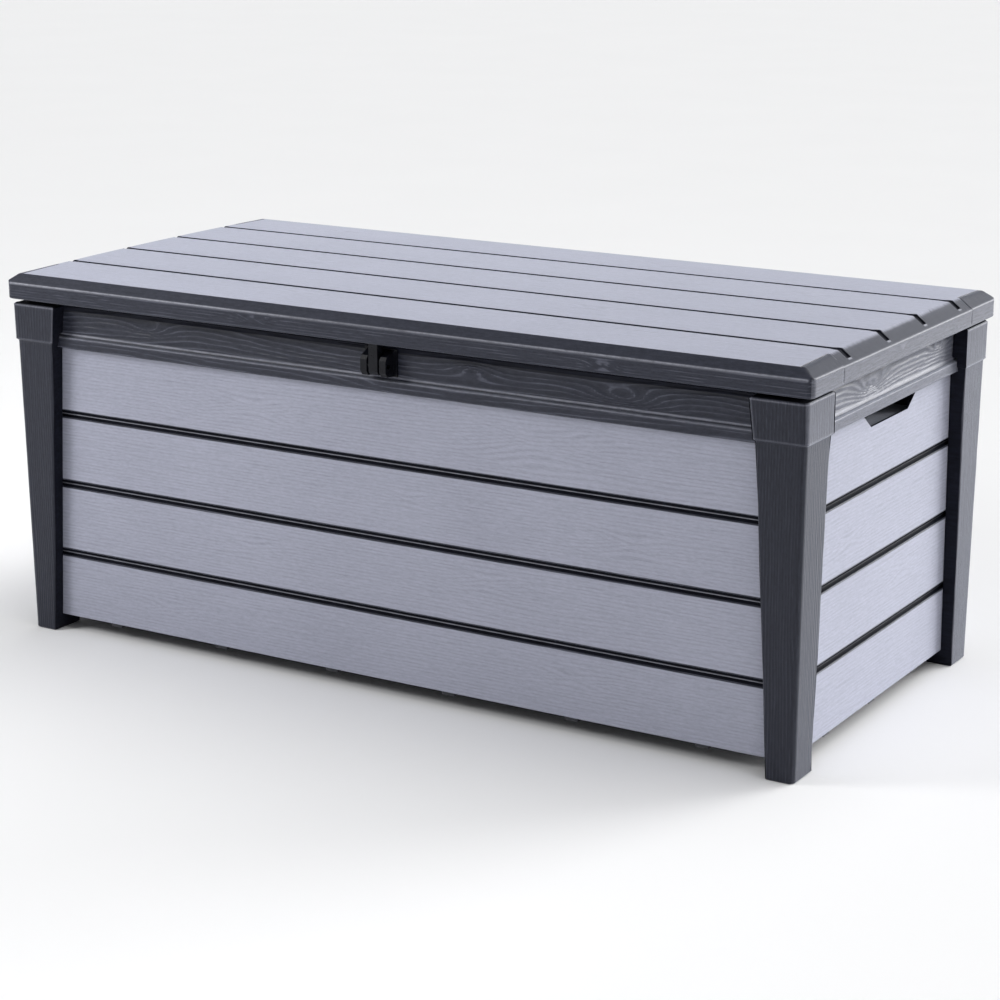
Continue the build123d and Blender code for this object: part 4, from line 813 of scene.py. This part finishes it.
# knots on each plank of the lid and along its rim, as on the walls
LID_KNOTS = {0: ((-180, 20, 12, 3.0),), 1: ((260, 10, 13, 3.4),), 2: ((-330, -12, 12, 3.0), (80, 18, 9, 2.0)),
             3: ((500, 0, 11, 2.6),), 4: ((-470, 8, 12, 3.0), (180, -18, 13, 3.4))}
RIM_KNOTS = ((500, 2, 8, 2.4), (1120, -3, 7, 2.0), (1760, 0, 7, 1.8), (2500, 2, 8, 2.4), (3600, 0, 7, 2.0))
lid_piece()


# ------------------------------------------------------------------ legs
def between(a, b, t):
    return tuple(p + (q - p) * t for p, q in zip(a, b))


def shrunk(section, amount):
    return (section[0] + amount, section[1] - amount, section[2] + amount, section[3] - amount)


def leg_section(z):
    """The leg's section at a height, with its foot chamfer, step and capital."""
    shaft = between(FOOT, SHAFT_TOP, z / SHAFT_LEVEL)
    if z < FOOT_CHAMFER:
        return between(shrunk(FOOT, FOOT_CHAMFER), between(FOOT, SHAFT_TOP, FOOT_CHAMFER / SHAFT_LEVEL),
                       z / FOOT_CHAMFER)
    if z <= SHAFT_LEVEL:
        return shaft
    if z <= CAPITAL_LEVEL:
        return between(SHAFT_TOP, CAPITAL_LOW, (z - SHAFT_LEVEL) / (CAPITAL_LEVEL - SHAFT_LEVEL))
    if z <= WALL_TOP - CAPITAL_CHAMFER:
        return between(CAPITAL_LOW, CAPITAL_TOP,
                       (z - CAPITAL_LEVEL) / (WALL_TOP - CAPITAL_CHAMFER - CAPITAL_LEVEL))
    return between(CAPITAL_TOP, shrunk(CAPITAL_TOP, CAPITAL_CHAMFER),
                   (z - WALL_TOP + CAPITAL_CHAMFER) / CAPITAL_CHAMFER)


def leg_path(section):
    """Points, outward directions and the running place round the outer sides of a leg section."""
    ix, ox, iy, oy = section
    out = []

    def turn(cx, cy, radius, start, end, count):
        for k in range(count):
            a = math.radians(start + (end - start) * k / (count - 1))
            out.append((cx + radius * math.cos(a), cy + radius * math.sin(a), math.cos(a), math.sin(a)))

    def line(x0, y0, x1, y1, nx, ny, count):
        for k in range(1, count):
            t = k / count
            out.append((x0 + (x1 - x0) * t, y0 + (y1 - y0) * t, nx, ny))

    turn(ix + LEG_EDGE, oy - LEG_EDGE, LEG_EDGE, 180, 90, 5)
    line(ix + LEG_EDGE, oy, ox - LEG_CORNER, oy, 0, 1, 38)
    turn(ox - LEG_CORNER, oy - LEG_CORNER, LEG_CORNER, 90, 0, 9)
    line(ox, oy - LEG_CORNER, ox, iy + LEG_EDGE, 1, 0, 38)
    turn(ox - LEG_EDGE, iy + LEG_EDGE, LEG_EDGE, 0, -90, 5)
    return np.array(out)


def leg_painted_light(z, facing_end, on_capital, side_y):
    """Painted highlights on the capital's top, lower and inner edges, and painted sheen on the side that
    faces along the box.
    """
    painted_light = 0.5 * band(z - WALL_TOP + 2.2, 1.2) + 0.3 * band(z - CAPITAL_LEVEL - 0.8, 0.9)
    columns = np.arange(z.shape[1])
    from_edge = np.minimum(columns, columns[::-1])
    painted_light = painted_light + 0.25 * on_capital * (np.abs(from_edge - 3) < 1.5)
    # painted sheen: stronger on the rear legs' shafts than on the front legs'
    shaft = 0.08 if side_y < 0 else 0.55
    painted_light = painted_light + np.where(facing_end, np.where(on_capital, 0.7, shaft) * END_PAINTED_SHEEN, 0)
    return np.clip(painted_light, 0, 1)


def leg_outside(corners, normal):
    """True for the faces of a leg's two outer sides and of the rounding between them."""
    if abs(normal[2]) > 0.95:
        return False
    for corner in corners:
        section = leg_section(min(max(corner[2], 0), WALL_TOP))
        if (abs(corner[0]) < section[1] - LEG_EDGE - 0.06
                and abs(corner[1]) < section[3] - LEG_EDGE - 0.06):
            return False
    return True


def leg_piece(name, node, side_x, side_y, seed):
    levels = packed(LEG_LINES, 6.5)
    paths = np.array([leg_path(leg_section(z)) for z in levels])
    z = np.tile(levels[:, None], (1, paths.shape[1]))
    x, y, ox, oy = (paths[:, :, k] for k in range(4))
    run = np.concatenate((np.zeros((len(levels), 1)),
                          np.cumsum(np.hypot(np.diff(x, axis=1), np.diff(y, axis=1)), axis=1)), axis=1)
    run = run - run.mean(axis=1, keepdims=True)
    ring = growth(z, run, seed, 4.6, 1.1)
    stripes = run / 5.6 + 0.25 * layered(z / 70, run / 18, seed + 3)
    on_capital = z > CAPITAL_LEVEL
    ring = np.where(on_capital, stripes, ring)
    relief = ridges(ring, z, run, seed + 5, 1.8)
    flat = np.clip(np.minimum(np.abs(z - CAPITAL_LEVEL) / 3, np.abs(z - SHAFT_LEVEL) / 3), 0, 1)
    ends = np.clip(np.minimum(z / 4, (WALL_TOP - 3 - z) / 3), 0, 1)
    sink = np.where(on_capital, 0.6, 0.5) * (1 - relief) * flat * ends
    sink[:, 0] = 0
    sink[:, -1] = 0
    points = np.stack((side_x * (x - ox * sink), side_y * (y - oy * sink), z), -1).reshape(-1, 3)
    painted_light = leg_painted_light(z, np.abs(ox) > 0.7, on_capital, side_y)
    fields = {"relief": relief.ravel(), "paint": np.full(relief.size, BARE), "painted_light": painted_light.ravel(),
              "grain": grain_place(z, ring, run)}
    faces = grid_faces(len(levels), paths.shape[1], side_x * side_y > 0)
    rest = cad_rest(node, leg_outside)
    # the leg's CAD faces that stay, its inner sides among them, get the painted-shade material
    return make_piece(name, [(*rest, None, 1), (points, faces, fields, 0)],
                      [leg_finish, painted_shade_finish], "box", [node], 50)


leg_piece("front_left_leg", "leg_front_left", -1, -1, 701)
leg_piece("front_right_leg", "leg_front_right", 1, -1, 721)
leg_piece("rear_left_leg", "leg_rear_left", -1, 1, 741)
leg_piece("rear_right_leg", "leg_rear_right", 1, 1, 761)

# ------------------------------------------------------------------ CAD parts that keep their own meshes
PLAIN = {
    "lid_liner": "liner_resin", "floor_left": "floor_resin", "floor_right": "floor_resin",
    "padlock_staple": "hasp_resin", "hasp_tongue": "hasp_resin", "lid_bumpers": "rubber",
    "strut_cylinder": "strut_black", "strut_gland": "strut_black", "strut_socket": "strut_black",
    "strut_eye": "strut_black", "strut_rod": "bright_steel", "hinge_base": "zinc_steel",
    "hinge_leaf": "zinc_steel", "hinge_pin": "bright_steel",
}
for node_name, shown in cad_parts.items():
    if shown.hide_render:
        continue
    kind = next((v for k, v in PLAIN.items() if node_name.startswith(k)), "zinc_steel")
    shown.data.materials.clear()
    shown.data.materials.append(finishes[kind])

# ------------------------------------------------------------------ floor, light and camera
floor_mesh = bpy.data.meshes.new("studio_floor")
floor_mesh.from_pydata([(-60, -60, 0), (60, -60, 0), (60, 60, 0), (-60, 60, 0)], [], [(0, 1, 2, 3)])
floor = bpy.data.objects.new("studio_floor", floor_mesh)
floor.location = (0, 0, -0.0005)
bpy.context.scene.collection.objects.link(floor)
floor_finish = Shader("studio_floor")
haze = floor_finish.noise(floor_finish.place(), 2.0, 2.0, 0.5)
floor_mesh.materials.append(floor_finish.finish(
    base_color=floor_finish.mix(haze, (0.90, 0.90, 0.905), (0.92, 0.92, 0.925)), roughness=0.9))
floor_finish.surface.inputs["Specular IOR Level"].default_value = 0.1

world = bpy.data.worlds.new("studio")
bpy.context.scene.world = world
world.use_nodes = True
world.node_tree.nodes["Background"].inputs[0].default_value = (0.98, 0.99, 1.0, 1)
world.node_tree.nodes["Background"].inputs[1].default_value = 0.28


def sun(name, direction, strength, spread, colour=(1, 1, 1)):
    """A soft far light that shines from a direction."""
    light = bpy.data.lights.new(name, "SUN")
    light.energy, light.angle, light.color = strength, math.radians(spread), colour
    lamp = bpy.data.objects.new(name, light)
    lamp.rotation_euler = Vector(direction).to_track_quat("Z", "Y").to_euler()
    bpy.context.scene.collection.objects.link(lamp)


sun("overhead", (0.35, 0.25, 0.9), 1.75, 70)
sun("right_rear", (0.48, 0.86, 0.17), 3.3, 34)

key = bpy.data.lights.new("front_left", "AREA")
key.shape, key.size, key.energy = "DISK", 1.1, 36.0
key_lamp = bpy.data.objects.new("front_left", key)
key_lamp.location = (-2.1, -1.9, 1.9)
lit_point = Vector((-0.45, -0.35, 0.35))
key_lamp.rotation_euler = (key_lamp.location - lit_point).to_track_quat("Z", "Y").to_euler()
bpy.context.scene.collection.objects.link(key_lamp)

CAMERA_PLACE = (2.104035, -3.451184, 1.345421)
CAMERA_LENS, CAMERA_DOWN, CAMERA_TURN = 91.177, 15.2340, 31.1868   # millimetres, degrees, degrees
camera_data = bpy.data.cameras.new("camera")
camera_data.lens, camera_data.sensor_width = CAMERA_LENS, 36.0
camera_data.clip_end = 200.0
camera = bpy.data.objects.new("camera", camera_data)
camera.location = CAMERA_PLACE
camera.rotation_euler = Euler((math.radians(90 - CAMERA_DOWN), 0, math.radians(CAMERA_TURN)))
bpy.context.scene.collection.objects.link(camera)
bpy.context.scene.camera = camera
bpy.context.scene.view_settings.view_transform = "Standard"
